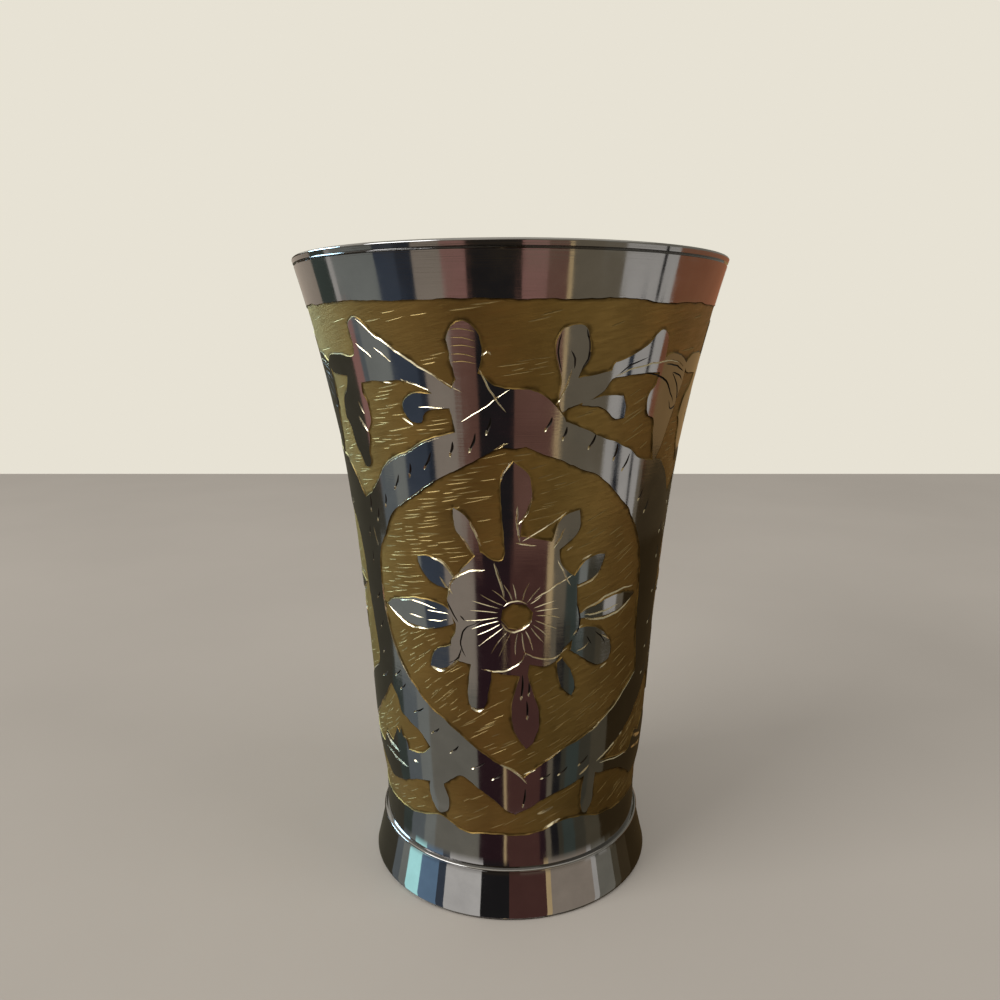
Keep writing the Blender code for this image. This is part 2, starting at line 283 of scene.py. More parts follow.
# Graver lines: width in millimetres and the points they pass
CUTS = (
    (0.5, ((-8, 67.8), (-13, 67.6), (-19, 65.5), (-20.6, 62.5))),
    (0.4, ((-10, 49.5), (-5, 49.1), (0, 49.8), (4, 51.6), (5, 52.8))),
    (0.3, ((4, 53), (10, 51.6), (15, 51.4), (20, 53))),
    (0.32, ((1.5, 72.8), (8.2, 72.3))),
    (0.26, ((3.5, 73), (10, 75), (17.5, 77.8))),
    (0.3, ((7.5, 62.4), (14, 64.6), (20.5, 66.5))),
    (0.45, ((-3, 58.4), (-1.6, 57.3), (1.4, 56.9), (5, 57.7), (7, 59))),
    (0.3, ((-2.2, 61.6), (-0.2, 62.4), (3.5, 62.3), (5.5, 61.6))),
    (0.5, ((-26.5, 69.5), (-23, 69), (-17.5, 65.7))),
    (0.45, ((-23.5, 66), (-19, 63))),
    (0.26, ((-40.5, 60.3), (-35.5, 60.8), (-31, 60.5), (-25.5, 59.9))),
    (0.2, ((-29, 59.4), (-25, 59.4), (-21, 59.3))),
    (0.2, ((-36.6, 57.9), (-30.6, 57.9))),
    (0.2, ((-29, 57.7), (-25, 57.8), (-21.8, 58.2))),
    (0.4, ((-48.6, 58.6), (-43, 56.8), (-36, 55.7), (-30.5, 55.8), (-26, 56.5))),
    (0.7, ((-29.2, 48.7), (-26, 48.2), (-23, 48.5))),
    (0.4, ((-23, 48.6), (-20, 49.7), (-17, 52))),
    (0.75, ((-14.6, 41.9), (-12.4, 41.5), (-9.2, 41.8))),
    (0.4, ((-16, 74), (-11.5, 70.3))),
    (0.4, ((-12.5, 76.5), (-9, 72))),
    (0.4, ((-3, 83.2), (-1.6, 85.2), (0.2, 86.6))),
    (0.4, ((2.5, 75.8), (5.4, 77.6), (6.4, 80.4))),
    (0.35, ((2.4, 79), (2.2, 76.6), (2.9, 72.8))),
    (0.45, ((-5.1, 69.2), (-3.5, 66), (-1.7, 62.9))),
    (0.35, ((13, 71.5), (17, 75))),
    (0.35, ((17.5, 70.8), (20, 71.7))),
    (0.4, ((23.5, 69), (27, 69.8))),
    (0.4, ((24.5, 59.4), (35, 61.6), (47.5, 62.3))),
    (0.4, ((25, 58.2), (36, 57.6), (43.5, 58.6), (47.6, 60.4))),
    (0.35, ((25.5, 58.8), (34, 58.9), (40, 59.6))),
    (0.4, ((21.5, 64), (28, 65.4), (31, 67.2))),
    (0.4, ((33.6, 47.7), (36.8, 48.4))),
    (0.3, ((21.5, 55), (23.5, 56.4), (25.6, 57))),
    (0.3, ((33.4, 54.6), (35.4, 54), (37.4, 53.2))),
    (0.24, ((23.5, 51.9), (26.5, 52.6), (28.4, 53.6))),
    (0.26, ((14.5, 69.5), (17, 67.2), (19.5, 64.5))),
    (0.26, ((-41.5, 108.7), (-39, 107.6), (-20, 100.2), (-12, 97.4))),
    (0.2, ((-43.5, 105), (-38.5, 102.8))),
    (0.2, ((-36.8, 104.5), (-32, 102.2))),
    (0.3, ((-30, 99.7), (-21, 97.9))),
    (0.28, ((-36.4, 99.2), (-33, 99))),
    (0.45, ((-31, 93.2), (-27.5, 92))),
    (0.24, ((-25, 95.2), (-18, 95.1))),
    (0.45, ((-50, 92.8), (-45.5, 89.9))),
    (0.4, ((-48.6, 95.4), (-46.4, 93.2))),
    (0.36, ((-7, 103.2), (-5.7, 103.9), (-4.4, 103.2))),
    (0.22, ((-13.5, 93), (-6, 95.5), (0, 98))),
    (0.26, ((-8, 101.5), (-4.5, 97.5), (-1, 94.3))),
    (0.3, ((-52.2, 72.6), (-50.3, 69.4))),
    (0.4, ((-5, 88.2), (-1, 89.5))),
    (0.3, ((15.2, 101), (14, 98.2), (12, 95.6))),
    (0.28, ((27.3, 99.9), (32, 101), (40.1, 101.8), (45.3, 102.2), (51, 102.1), (56.4, 101))),
    (0.3, ((-50.9, 62.3), (-49.5, 54.9), (-45.8, 49.3), (-38.2, 44.1))),
    (0.24, ((30, 35), (40, 38.3), (45, 40.2), (54.6, 44.4))),
    (0.2, ((-37, 77.8), (-30, 80.2), (-22, 83.2))),
    (0.16, ((-41, 84.5), (-36, 86), (-30, 87.4), (-25, 89.1), (-20, 90.3))),
    (0.45, ((-4, 31), (0, 30), (4.5, 28), (6, 27))),
    (0.3, ((5, 28.8), (9.5, 29.9))),
    (0.22, ((12, 31.4), (19, 33.3))),
    (0.6, ((13.5, 16.6), (21, 18.4))),
    (0.75, ((10.6, 19.9), (17, 21.3))),
    (0.45, ((27.5, 27.3), (32, 28.7))),
    (0.36, ((35, 29), (40, 30.4), (44, 31.5), (49, 33.1))),
    (0.9, ((-62, 30.2), (-56.5, 29), (-50, 28.1))),
    (0.6, ((-61.5, 27.3), (-52, 26.3), (-45, 26))),
    (0.24, ((36.5, 28.5), (46, 27.7), (54, 27.2))),
    (0.4, ((-41, 28.3), (-38.5, 28.2))),
)
BUD_HATCH = (107.0, 105.8, 104.5, 103.3, 102.1)
BUD_HATCH_ENDS = (-14.6, -8.2)
BUD_HATCH_WIDTH = 0.14

# Scribed lines, in the same way, painted near black as painted shade in their grooves
SCRIBES = (
    (0.3, ((-9, 58.6), (-12, 57.8), (-14.5, 57.2), (-17, 55.2), (-16.8, 53.2), (-15.2, 51.4))),
    (0.28, ((-16.8, 53.2), (-18.5, 51), (-21.8, 49.9))),
    (0.3, ((-21.5, 62), (-19.5, 59.6), (-18, 57.9))),
    (0.28, ((-17, 59.2), (-15.3, 58.3))),
    (0.32, ((22, 61.4), (23.7, 59.2), (24.2, 57.2), (22.6, 54.9))),
    (0.3, ((18, 107.3), (19.1, 105.8), (19.1, 103), (17.8, 100.9))),
    (0.26, ((14.4, 104), (15.8, 102.7), (15.9, 101))),
    (0.24, ((11.9, 106.6), (11.6, 103.6), (13, 100.5))),
    (0.26, ((28.5, 100.4), (33, 101.9), (37.5, 102.8))),
    (0.36, ((37.9, 100.2), (42.5, 99.8), (48.6, 98.4), (52.3, 96.4), (54.4, 94.8))),
    (0.34, ((51.6, 95.4), (53.6, 94), (56.6, 94.6), (56, 96.8), (53.4, 98.6), (50.2, 100.2))),
    (0.3, ((45.5, 101.6), (51, 101.4), (56.8, 100.2))),
    (0.3, ((50.2, 100.2), (54, 99.8), (57.4, 98.8))),
    (0.26, ((30.4, 55.4), (33, 54.4), (35.6, 52.6))),
    (0.24, ((27.4, 54.8), (29.6, 53))),
)

# Comma nicks along the plated bands, and longer ones from their tail to their head
NICKS = (
    (-57, 48), (-58.5, 42.8), (-47.5, 44.6), (-45, 42.2), (-38, 38.7), (-30, 35.7), (-22.3, 32.5),
    (-14, 29.8), (-6.5, 28), (12, 28), (19, 28.5), (27.5, 29.5), (-11.5, 88.5),
    (-6.5, 91.3), (-17, 87.7), (-25, 85.2), (-31, 83.5), (-37.5, 81), (-43, 77.5), (-52, 76),
    (-48.5, 74.5), (-57, 71), (-56.5, 66), (-56, 59), (-56.5, 53), (9.5, 91.8), (14.5, 90.3),
    (22.5, 88.6), (31, 86.5), (35, 84.5), (44.5, 78.5), (48.5, 76),
)
LONG_NICKS = (
    ((4, 48.6), (3.7, 44.2)), ((5.6, 43.5), (5.8, 40.4)), ((6.2, 47), (6.3, 44.8)),
    ((5.6, 26), (4.8, 22.4)),
)
NICK_WIDTH = 0.4
STAMENS = 24
STAMEN_WIDTH = 0.2
STAMEN_ROOT = 1.15
STAMEN_REACH = (8.3, 7.0)

# Cards that stand round the set and show only in the metal, as the room round the cup does: their distance
# from the axis, lowest edge and highest edges on the left and on the right in metres, and the angles on the
# wall that mirror them
CARD_REACH = 0.7
CARD_FOOT, CARD_HEADS = -1.1, (0.32, 0.9)
CARD_SPAN = 74.0
CARD_STEPS = 296
TONES = {
    "black": (0.028, 0.026, 0.027), "wine": (0.14, 0.062, 0.052), "maroon": (0.27, 0.135, 0.10),
    "rose": (0.54, 0.28, 0.24), "beige": (0.50, 0.42, 0.34), "taupe": (0.26, 0.22, 0.155),
    "silver": (0.74, 0.71, 0.66), "mist": (0.37, 0.39, 0.36), "navy": (0.09, 0.112, 0.15),
    "ink": (0.048, 0.06, 0.083), "shade": (0.09, 0.082, 0.058), "umber": (0.052, 0.034, 0.015),
    "tan": (0.34, 0.21, 0.09), "rust": (0.36, 0.145, 0.075), "gold": (0.92, 0.68, 0.36),
    "aqua": (1.0, 1.9, 1.88), "slate": (0.22, 0.25, 0.26), "plum": (0.05, 0.024, 0.029),
    "teal": (0.085, 0.105, 0.09), "sky": (0.26, 0.42, 0.62),
    "dove": (0.30, 0.285, 0.235), "clay": (0.13, 0.11, 0.072), "bark": (0.082, 0.058, 0.03),
    "pale": (1.0, 0.97, 0.92),
}
# Rows of cards from the top down, each from left to right: the angle on the wall at which the camera sees a
# card end, and its tone. A row ends where the camera sees it end in the wall, at these heights. The fifth
# row's end differs on the left and on the right, and the last row starts a gap below the sixth one's end.
CARD_ROW_ENDS = (120.5, 110.0, 86.0, 71.0)
LOW_ROW_ENDS = (45.0, 57.0)
UNDER_ROW_END = 19.3
UNDER_ROW_GAP = 0.05
CARD_ROWS = (
    ((-20, "bark"), (-10, "clay"), (3, "bark"), (20, "taupe"), (74, "dove")),
    (
        (-54.5, "beige"), (-47, "teal"), (-45, "silver"), (-31, "mist"), (-25.5, "navy"), (-21.7, "ink"),
        (-15, "beige"), (-9.5, "rose"), (2.5, "black"), (8, "rose"), (12.4, "maroon"), (13.4, "gold"),
        (25.5, "taupe"), (36, "silver"), (36.8, "black"), (41, "silver"), (74, "rust"),
    ),
    (
        (-46.5, "shade"), (-43, "rose"), (-41, "slate"), (-32, "mist"), (-24, "navy"), (-22, "ink"),
        (-14.5, "beige"), (-8.5, "maroon"), (1, "black"), (12.9, "maroon"), (14.2, "gold"), (27, "taupe"),
        (31.4, "silver"), (33.2, "ink"), (37.8, "silver"), (38.8, "black"), (42.4, "silver"),
        (44.8, "rust"), (74, "tan"),
    ),
    (
        (-44, "shade"), (-37, "slate"), (-32, "mist"), (-24, "navy"), (-22, "ink"), (-13, "beige"),
        (-8.5, "maroon"), (1, "black"), (11.8, "maroon"), (13.6, "gold"), (28, "taupe"), (31.2, "silver"),
        (33.8, "black"), (37.8, "silver"), (38.8, "black"), (42, "silver"), (44, "taupe"), (74, "bark"),
    ),
    (
        (-48, "shade"), (-30, "mist"), (-21.5, "navy"), (-11.5, "beige"), (0.2, "plum"), (11.5, "wine"),
        (13.5, "gold"), (18, "taupe"), (22.5, "teal"), (25.5, "mist"), (33, "shade"), (38.5, "silver"),
        (42, "taupe"), (74, "umber"),
    ),
    (
        (-50, "shade"), (-44, "teal"), (-36.5, "slate"), (-31, "mist"), (-12, "dove"), (-2.6, "plum"),
        (-1.3, "gold"), (11, "wine"), (13.4, "plum"), (15.6, "taupe"), (18.4, "black"), (20.6, "shade"),
        (25.6, "teal"), (30.5, "shade"), (38, "clay"), (74, "umber"),
    ),
    ((-26, "silver"), (12, "pale"), (22, "silver"), (32, "clay"), (74, "umber")),
)
# Small cards that the camera sees in the foot, in the same way, how far from the axis they stand, and the
# heights between which they fade in, counted from where the top of the foot is mirrored
FOOT_REACH = 0.0302
FOOT_SPAN = 62.0
FOOT_STEPS = 248
FOOT_FADE = (0.0001, -0.0014)
FOOT_MARGIN = 0.0001
FOOT_CARDS = (
    (-56, "shade"), (-51, "slate"), (-46.7, "mist"), (-39, "aqua"), (-29.8, "sky"), (-26.4, "navy"),
    (-11.7, "pale"), (-0.5, "black"), (14, "wine"), (16.2, "gold"), (34.5, "beige"), (37, "silver"),
    (46, "dove"), (50, "clay"), (58, "bark"), (62, "umber"),
)

# Camera, lights and floor, in metres where nothing else is said
CAMERA_PLACE = (0.0, -0.162, 0.1054)
CAMERA_TILT = 0.1924  # radians below level
CAMERA_LENS, CAMERA_SENSOR = 29.376, 36.0  # millimetres
CAMERA_SHIFT = -0.0105
LIGHT_AIM = (0.0, 0.0, 0.06)
FLOOR_SIZE = 1.2
FLOOR_END = 0.49
FLOOR_DROP = 0.00005  # keeps the floor just clear of the foot


def settings():
    """The add-on's values, kept on the scene."""
    return bpy.context.scene.tumbler


# Wall of the CAD part


def wall_rings():
    """Heights and outer radii of the CAD wall below its turned groove, lowest first."""
    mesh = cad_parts["body_shell"].data
    top = CAD_BOX[1].z - GROOVE_REGION
    rings = {}
    for face in mesh.polygons:
        outward = Vector((face.center.x, face.center.y, 0.0)).normalized()
        if face.normal.dot(outward) < 0.8:
            continue
        for index in face.vertices:
            place = mesh.vertices[index].co
            if place.z < top:
                rings[round(place.z, 6)] = math.hypot(place.x, place.y)
    return sorted(rings.items())


class WallCurve:
    """Outer radius and slope of the wall at any height, on cubic curves through the CAD part's rings."""

    def __init__(self):
        rings = wall_rings()
        self.heights = np.array([height for height, _ in rings])
        self.radii = np.array([radius for _, radius in rings])
        self.slopes = np.gradient(self.radii, self.heights, edge_order=2)

    def at(self, height):
        """Radius and change of radius per height, for one height or an array of them."""
        last = len(self.heights) - 2
        span_index = np.clip(np.searchsorted(self.heights, height) - 1, 0, last)
        low = self.heights[span_index]
        span = self.heights[span_index + 1] - low
        t = (height - low) / span
        start, end = self.radii[span_index], self.radii[span_index + 1]
        start_pull, end_pull = self.slopes[span_index] * span, self.slopes[span_index + 1] * span
        radius = (
            start * (1 + 2 * t) * (1 - t) ** 2
            + start_pull * t * (1 - t) ** 2
            + end * t * t * (3 - 2 * t)
            + end_pull * t * t * (t - 1)
        )
        rise = (
            (end - start) * 6 * t * (1 - t)
            + start_pull * (1 - t) * (1 - 3 * t)
            + end_pull * t * (3 * t - 2)
        )
        return radius, rise / span


WALL = WallCurve()


# Flat drawing of the ornament


def eased(value):
    """A value held between 0 and 1, with a soft start and end."""
    value = min(1.0, max(0.0, value))
    return value * value * (3 - 2 * value)


def smooth_path(points, step=OUTLINE_STEP):
    """Points about a step apart on a curve that passes through the given points."""
    knots = [Vector(point) for point in points]
    chords = [(end - start).length for start, end in zip(knots, knots[1:])]
    rises = [(end - start) / chord for start, end, chord in zip(knots, knots[1:], chords)]
    slopes = [rises[0]]
    for before, after, chord_before, chord_after in zip(rises, rises[1:], chords, chords[1:]):
        slopes.append((before * chord_after + after * chord_before) / (chord_before + chord_after))
    slopes.append(rises[-1])
    path = []
    for index, chord in enumerate(chords):
        start, end = knots[index], knots[index + 1]
        count = max(1, round(chord / step))
        leave = start + slopes[index] * chord / 3
        arrive = end - slopes[index + 1] * chord / 3
        path += interpolate_bezier(start, leave, arrive, end, count + 1)[:-1]
    path.append(knots[-1])
    return [Vector(point[:2]) for point in path]


def plan(points):
    """Points of the drawing in millimetres, from degrees and millimetres."""
    return [(degrees * MM_PER_DEGREE, height) for degrees, height in points]


def plan_point(degrees, height):
    """One such point, as a vector."""
    return Vector((degrees * MM_PER_DEGREE, height))


def hand_drawn(path):
    """The path with the small wander of a hand-held graver, the same in every repeat."""
    drawn = []
    for point in path:
        turn = math.tau * point.x / REPEAT_WIDTH
        ring = REPEAT_WIDTH / math.tau
        place = Vector((math.cos(turn) * ring, math.sin(turn) * ring, point.y))
        wander = noise.noise_vector(place * 0.45) * 0.22 + noise.noise_vector(place * 1.4) * 0.10
        drawn.append(point + wander.xy)
    return drawn


def outline(runs):
    """Closed loop, counter-clockwise, through runs that meet in corners."""
    loop = []
    for run in runs:
        loop += smooth_path(plan(run))[:-1]
    return counter_clockwise(hand_drawn(loop))


def counter_clockwise(loop):
    """The loop, turned round if it runs clockwise."""
    area = sum(a.x * b.y - b.x * a.y for a, b in zip(loop, loop[1:] + loop[:1]))
    return loop if area > 0 else loop[::-1]


def edge_run(runs):
    """Open path through runs that meet in corners."""
    path = []
    for run in runs:
        path += smooth_path(plan(run))[:-1]
    path.append(plan_point(*runs[-1][-1]))
    return hand_drawn(path)


def leaf_outline(base, tip, half_width, belly, neck):
    """Loop of a pointed leaf."""
    start, end = plan_point(*base), plan_point(*tip)
    along = end - start
    across = along.normalized().orthogonal()
    power = math.log(0.5) / math.log(belly)
    stations = (0.0, 0.12, 0.28, 0.45, 0.62, 0.78, 0.9)
    sides = []
    for sign in (1, -1):
        knots = []
        for t in stations:
            swell = math.sin(math.pi * t**power) ** 0.85
            knots.append(start + along * t + across * sign * (neck * (1 - t) ** 2 + half_width * swell))
        knots.append(end)
        sides.append(smooth_path(knots))
    loop = sides[0][:-1] + sides[1][:0:-1]
    return counter_clockwise(hand_drawn(loop))


def moved_sideways(path, distance, closed):
    """The path moved to its left by a distance."""
    moved = []
    count = len(path)
    for index, point in enumerate(path):
        before = path[index - 1] if closed or index else point
        after = path[(index + 1) % count] if closed or index < count - 1 else point
        along = (after - before).normalized()
        moved.append(point + Vector((-along.y, along.x)) * distance)
    return moved


def ribbon(path, width, swell):
    """Loop of a groove that runs out to a point at both ends, with its half widths along the path."""
    last = len(path) - 1
    halves = [width / 2 * math.sin(math.pi * (index / last) ** swell) ** 0.45 for index in range(1, last)]
    left, right = [], []
    for index, half in enumerate(halves, 1):
        along = (path[index + 1] - path[index - 1]).normalized()
        across = Vector((-along.y, along.x))
        left.append(path[index] + across * half)
        right.append(path[index] - across * half)
    return [path[0], *right, path[-1], *left[::-1]], halves


def wrapped_x(x):
    """The place of x in the middle repeat."""
    return (x + REPEAT_WIDTH / 2) % REPEAT_WIDTH - REPEAT_WIDTH / 2


class Drawing:
    """Points, lines and closed shapes of one repeat."""

    def __init__(self):
        self.points = []
        self.heights = {}
        self.lines = []
        self.shapes = []
        self.dots = []
        self.strokes = []
        self.spines = set()
        self.feet = set()
        self.taken = {}

    def keep(self, path):
        """Adds points and gives their numbers."""
        first = len(self.points)
        self.points += path
        for point in path:
            cell = self.cell(wrapped_x(point.x), point.y)
            self.taken.setdefault(cell, []).append((wrapped_x(point.x), point.y))
        return list(range(first, len(self.points)))

    def cell(self, x, y):
        """Square of the search grid that holds a point."""
        return math.floor(x / CLEARANCE), math.floor(y / CLEARANCE)

    def is_clear(self, point, distance):
        """Whether no point of the drawing is nearer than a distance, up to the clearance."""
        x, y = wrapped_x(point.x), point.y
        column, row = self.cell(x, y)
        for near_column in (column - 1, column, column + 1):
            for near_row in (row - 1, row, row + 1):
                for near_x, near_y in self.taken.get((near_column, near_row), ()):
                    if (near_x - x) ** 2 + (near_y - y) ** 2 < distance * distance:
                        return False
        return True

    def shape(self, loop, rank, zone=""):
        """Adds a closed shape with its outline."""
        numbers = self.keep(loop)
        self.lines += zip(numbers, numbers[1:] + numbers[:1])
        self.region(loop, rank, zone)

    def region(self, loop, rank, zone):
        """Adds a closed shape alone."""
        self.shapes.append((rank, zone, np.array([tuple(point) for point in loop])))

    def strand(self, path, fits, closed=False):
        """Adds a line through those points of a path that fit."""
        numbers = [self.keep([point])[0] if fit else None for point, fit in zip(path, fits)]
        pairs = list(zip(numbers, numbers[1:]))
        if closed:
            pairs.append((numbers[-1], numbers[0]))
        self.lines += [pair for pair in pairs if None not in pair]
        return numbers

    def surface(self, points):
        """Rank and zone of the drawing at each point."""
        xs = np.array([wrapped_x(point.x) for point in points])
        ys = np.array([point.y for point in points])
        ranks = np.zeros(len(points), int)
        zones = np.full(len(points), "", dtype="U12")
        for rank, zone, loop in self.shapes:
            (left, low), (right, high) = loop.min(axis=0), loop.max(axis=0)
            level = (ys >= low) & (ys <= high)
            for shift in (-REPEAT_WIDTH, 0.0, REPEAT_WIDTH):
                near = np.nonzero(level & (xs >= left + shift) & (xs <= right + shift))[0]
                if len(near) == 0:
                    continue
                hit = near[is_inside(loop, xs[near] - shift, ys[near])]
                hit = hit[ranks[hit] <= rank]
                ranks[hit] = rank
                zones[hit] = zone
        return ranks, zones


def is_inside(loop, xs, ys):
    """Which points lie inside a closed loop."""
    inside = np.zeros(len(xs), bool)
    ends = np.roll(loop, -1, axis=0)
    for (start_x, start_y), (end_x, end_y) in zip(loop, ends):
        if start_y == end_y:
            continue
        between = (start_y > ys) != (end_y > ys)
        inside ^= between & (xs < (end_x - start_x) * (ys - start_y) / (end_y - start_y) + start_x)
    return inside


def draw_fields(drawing):
    """Adds the shapes and gives the edges along which the ground is cut down, with their inner side."""
    edges = []
    for runs, zone in ((MEDALLION, "medallion"), (SPANDREL, "spandrel")):
        loop = outline(runs)
        drawing.shape(loop, FIELD, zone)
        edges.append((loop, 1, True))
    belts = ((UPPER_BELT_FOOT, UPPER_BELT_HEAD, "upper"), (LOWER_BELT_FOOT, LOWER_BELT_HEAD, "lower"))
    for foot_runs, head_runs, zone in belts:
        foot, head = edge_run(foot_runs), edge_run(head_runs)
        drawing.region(foot + head[::-1], FIELD, zone)
        for path, side in ((foot, 1), (head, -1)):
            drawing.strand(path, [True] * len(path))
            edges.append((path, side, False))
    return edges


def draw_islands(drawing):
    """Adds the plated shapes in the ground and the flower's sunk disc, and gives their edges."""
    edges = []
    loops = [outline(runs) for runs in ISLANDS] + [leaf_outline(*leaf) for leaf in LEAVES]
    for loop in loops:
        drawing.shape(loop, ISLAND)
        edges.append((loop, -1, True))
    centre = plan_point(*DISC_CENTRE)
    turns = [math.tau * (step + 0.3) / DISC_SIDES for step in range(DISC_SIDES + 1)]
    rim = [centre + Vector((math.cos(t) * DISC_SIZE[0], math.sin(t) * DISC_SIZE[1])) for t in turns]
    loop = []
    for side in zip(rim, rim[1:]):
        loop += smooth_path(side)[:-1]
    drawing.shape(loop, CELL, "cell")
    edges.append((loop, 1, True))
    return edges


def cut_paths():
    """Kind, width, swell and path of every graver line, scribed line, stamen, hatch line and nick."""
    rng = random.Random(11)
    paths = []
    for kind, lines in ((CUT, CUTS), (SCRIBE, SCRIBES)):
        for width, points in lines:
            paths.append((kind, width, 0.9, hand_drawn(smooth_path(plan(points), CUT_STEP))))
    centre = plan_point(*DISC_CENTRE)
    for number in range(STAMENS):
        turn = math.tau * (number + rng.uniform(-0.22, 0.22)) / STAMENS
        ray = Vector((math.cos(turn), math.sin(turn)))
        root = Vector((ray.x * DISC_SIZE[0], ray.y * DISC_SIZE[1])) * STAMEN_ROOT
        end = Vector((ray.x * STAMEN_REACH[0], ray.y * STAMEN_REACH[1])) * rng.uniform(0.86, 1.06)
        end += Vector((-0.5, -0.8))
        bend = Vector((-ray.y, ray.x)) * rng.uniform(-0.2, 0.2)
        knots = [centre + root, centre + (root + end) / 2 + bend, centre + end]
        paths.append((CUT, STAMEN_WIDTH, 0.8, smooth_path(knots, CUT_STEP)))
    for height in BUD_HATCH:
        left = plan_point(BUD_HATCH_ENDS[0], height)
        right = plan_point(BUD_HATCH_ENDS[1], height - rng.uniform(0.1, 0.6))
        middle = (left + right) / 2 + Vector((0, 0.25))
        paths.append((STROKE, BUD_HATCH_WIDTH, 0.8, smooth_path([left, middle, right], CUT_STEP)))
    tails = [(plan_point(*tail), plan_point(*head)) for tail, head in LONG_NICKS]
    for nick in NICKS:
        head = plan_point(*nick)
        turn = math.radians(rng.uniform(62, 82) if head.y > 62 else rng.uniform(25, 45))
        tails.append((head + Vector((math.cos(turn), math.sin(turn))) * rng.uniform(1.9, 2.9), head))
    # Each nick is a scribe painted dark as painted shade, with a bright cut at its head
    for start, head in tails:
        along = (head - start).normalized()
        middle = (start + head) / 2 + Vector((0.12, -0.12))
        paths.append((SCRIBE, NICK_WIDTH, 1.3, smooth_path([start, middle, head], 0.3)))
        paths.append((CUT, NICK_WIDTH, 0.8, smooth_path([head - along * 0.4, head + along * 0.6], 0.2)))
    return paths


def draw_cuts(drawing, relief):
    """Adds the loops and the sunk spines of the graver lines."""
    cuts = []
    for kind, width, swell, path in cut_paths():
        if len(path) < 4:
            path = smooth_path(path, OUTLINE_STEP / 2)
        loop, halves = ribbon(path, width, swell)
        cuts.append((kind, path[1:-1], loop, halves))
    ranks, _ = drawing.surface([point for _, spine, _, _ in cuts for point in spine])
    ranks = iter(ranks)
    for kind, spine, loop, halves in cuts:
        drawing.shape(loop, kind)
        for number, half in zip(drawing.strand(spine, [True] * len(spine)), halves):
            ground = -relief if next(ranks) in (FIELD, CELL) else 0.0
            drawing.heights[number] = ground - 0.75 * half


def draw_wall_feet(drawing, edges):
    """Adds the line where the cut wall under each edge meets the ground."""
    for path, side, closed in edges:
        foot = moved_sideways(path, WALL_RUN * side, closed)
        ranks, _ = drawing.surface(foot)
        fits = []
        for point, rank in zip(foot, ranks):
            fits.append(rank in (FIELD, CELL) and drawing.is_clear(point, WALL_RUN * 0.7))
        drawing.feet.update(number for number in drawing.strand(foot, fits, closed) if number is not None)


def stroke_share(zone, x, y):
    """Share of the strokes that show at a place: fewer to the right and at the top of the upper belt."""
    degrees = wrapped_x(x) / MM_PER_DEGREE
    fade = 1 - 0.6 * min(1.0, max(0.0, (degrees + 8) / 30)) * (1 - eased((degrees - 44) / 8))
    if y > 103:
        fade *= 0.15
    return STROKE_SHARE[zone] * fade


def stroke_turn(x, y):
    """Slope of the strokes at a place, in degrees: steeper towards the right and the lower left."""
    degrees = wrapped_x(x) / MM_PER_DEGREE
    right = 0.5 * degrees * (1 - eased((degrees - 40) / 12))
    left = 14 * eased((62 - y) / 10) * eased((-10 - degrees) / 20) * eased((y - 30) / 6)
    return 10 + max(right, left + min(16.0, max(0.0, 60 - y)))


def chisel_strokes(zone, low, high, rng):
    """Start and course of the chisel strokes that fill a box."""
    strokes = []
    y = low[1]
    while y < high[1]:
        x = low[0] + rng.uniform(-1.0, 1.0)
        while x < high[0]:
            turn = math.radians(stroke_turn(x, y)) + rng.uniform(-0.09, 0.09)
            along = Vector((math.cos(turn), math.sin(turn))) * rng.uniform(*STROKE_LENGTH)
            if rng.random() < stroke_share(zone, x, y):
                strokes.append((Vector((x, y + rng.uniform(-0.15, 0.15))), along))
            x += along.x + rng.uniform(*STROKE_GAP)
        y += ROW_PITCH
    return strokes


def draw_chisel_strokes(drawing, zone, relief, rng):
    """Adds the chisel strokes of a zone of the ground, each a shallow groove with two sunk points."""
    loops = [loop for _, name, loop in drawing.shapes if name == zone]
    low = np.min([loop.min(axis=0) for loop in loops], axis=0)
    high = np.max([loop.max(axis=0) for loop in loops], axis=0)
    strokes = []
    for start, along in chisel_strokes(zone, low, high, rng):
        across = along.orthogonal().normalized() * rng.uniform(*STROKE_HALF_WIDTH)
        near, far, end = start + along * 0.2, start + along * rng.uniform(0.55, 0.85), start + along
        strokes.append((start, near - across, far - across, end, far + across, near + across, near, far))
    ranks, zones = drawing.surface([point for stroke in strokes for point in stroke])
    is_ground = np.isin(ranks, (FIELD, CELL)) & (zones == zone)
    for stroke, fits in zip(strokes, is_ground.reshape(-1, 8).all(axis=1)):
        if fits and all(drawing.is_clear(point, STROKE_CLEARANCE) for point in stroke):
            *loop, near, far = drawing.keep(stroke)
            drawing.strokes.append([*zip(loop, loop[1:] + loop[:1]), (near, far)])
            depth = STROKE_DEPTH * rng.uniform(0.5, 1.2)
            for spine in (near, far):
                drawing.heights[spine] = -relief - depth
                drawing.spines.add(spine)


def draw_dots(drawing):
    """Adds an even spread of points over the surface."""
    columns = round(REPEAT_WIDTH / DOT_SPACING)
    spacing = REPEAT_WIDTH / columns
    rows = round((SHEET_TOP - SHEET_BOTTOM) / (spacing * DOT_ROW_SHARE))
    dots = []
    for row in range(1, rows):
        height = SHEET_BOTTOM + (SHEET_TOP - SHEET_BOTTOM) * row / rows
        for column in range(columns):
            x = -REPEAT_WIDTH / 2 + (column + 0.5 * (row % 2)) * spacing
            dots.append(Vector((x, height)))
    ranks, _ = drawing.surface(dots)
    fitting = [dot for dot, rank in zip(dots, ranks) if rank not in (CUT, SCRIBE)]
    drawing.dots += drawing.keep([dot for dot in fitting if drawing.is_clear(dot, CLEARANCE)])


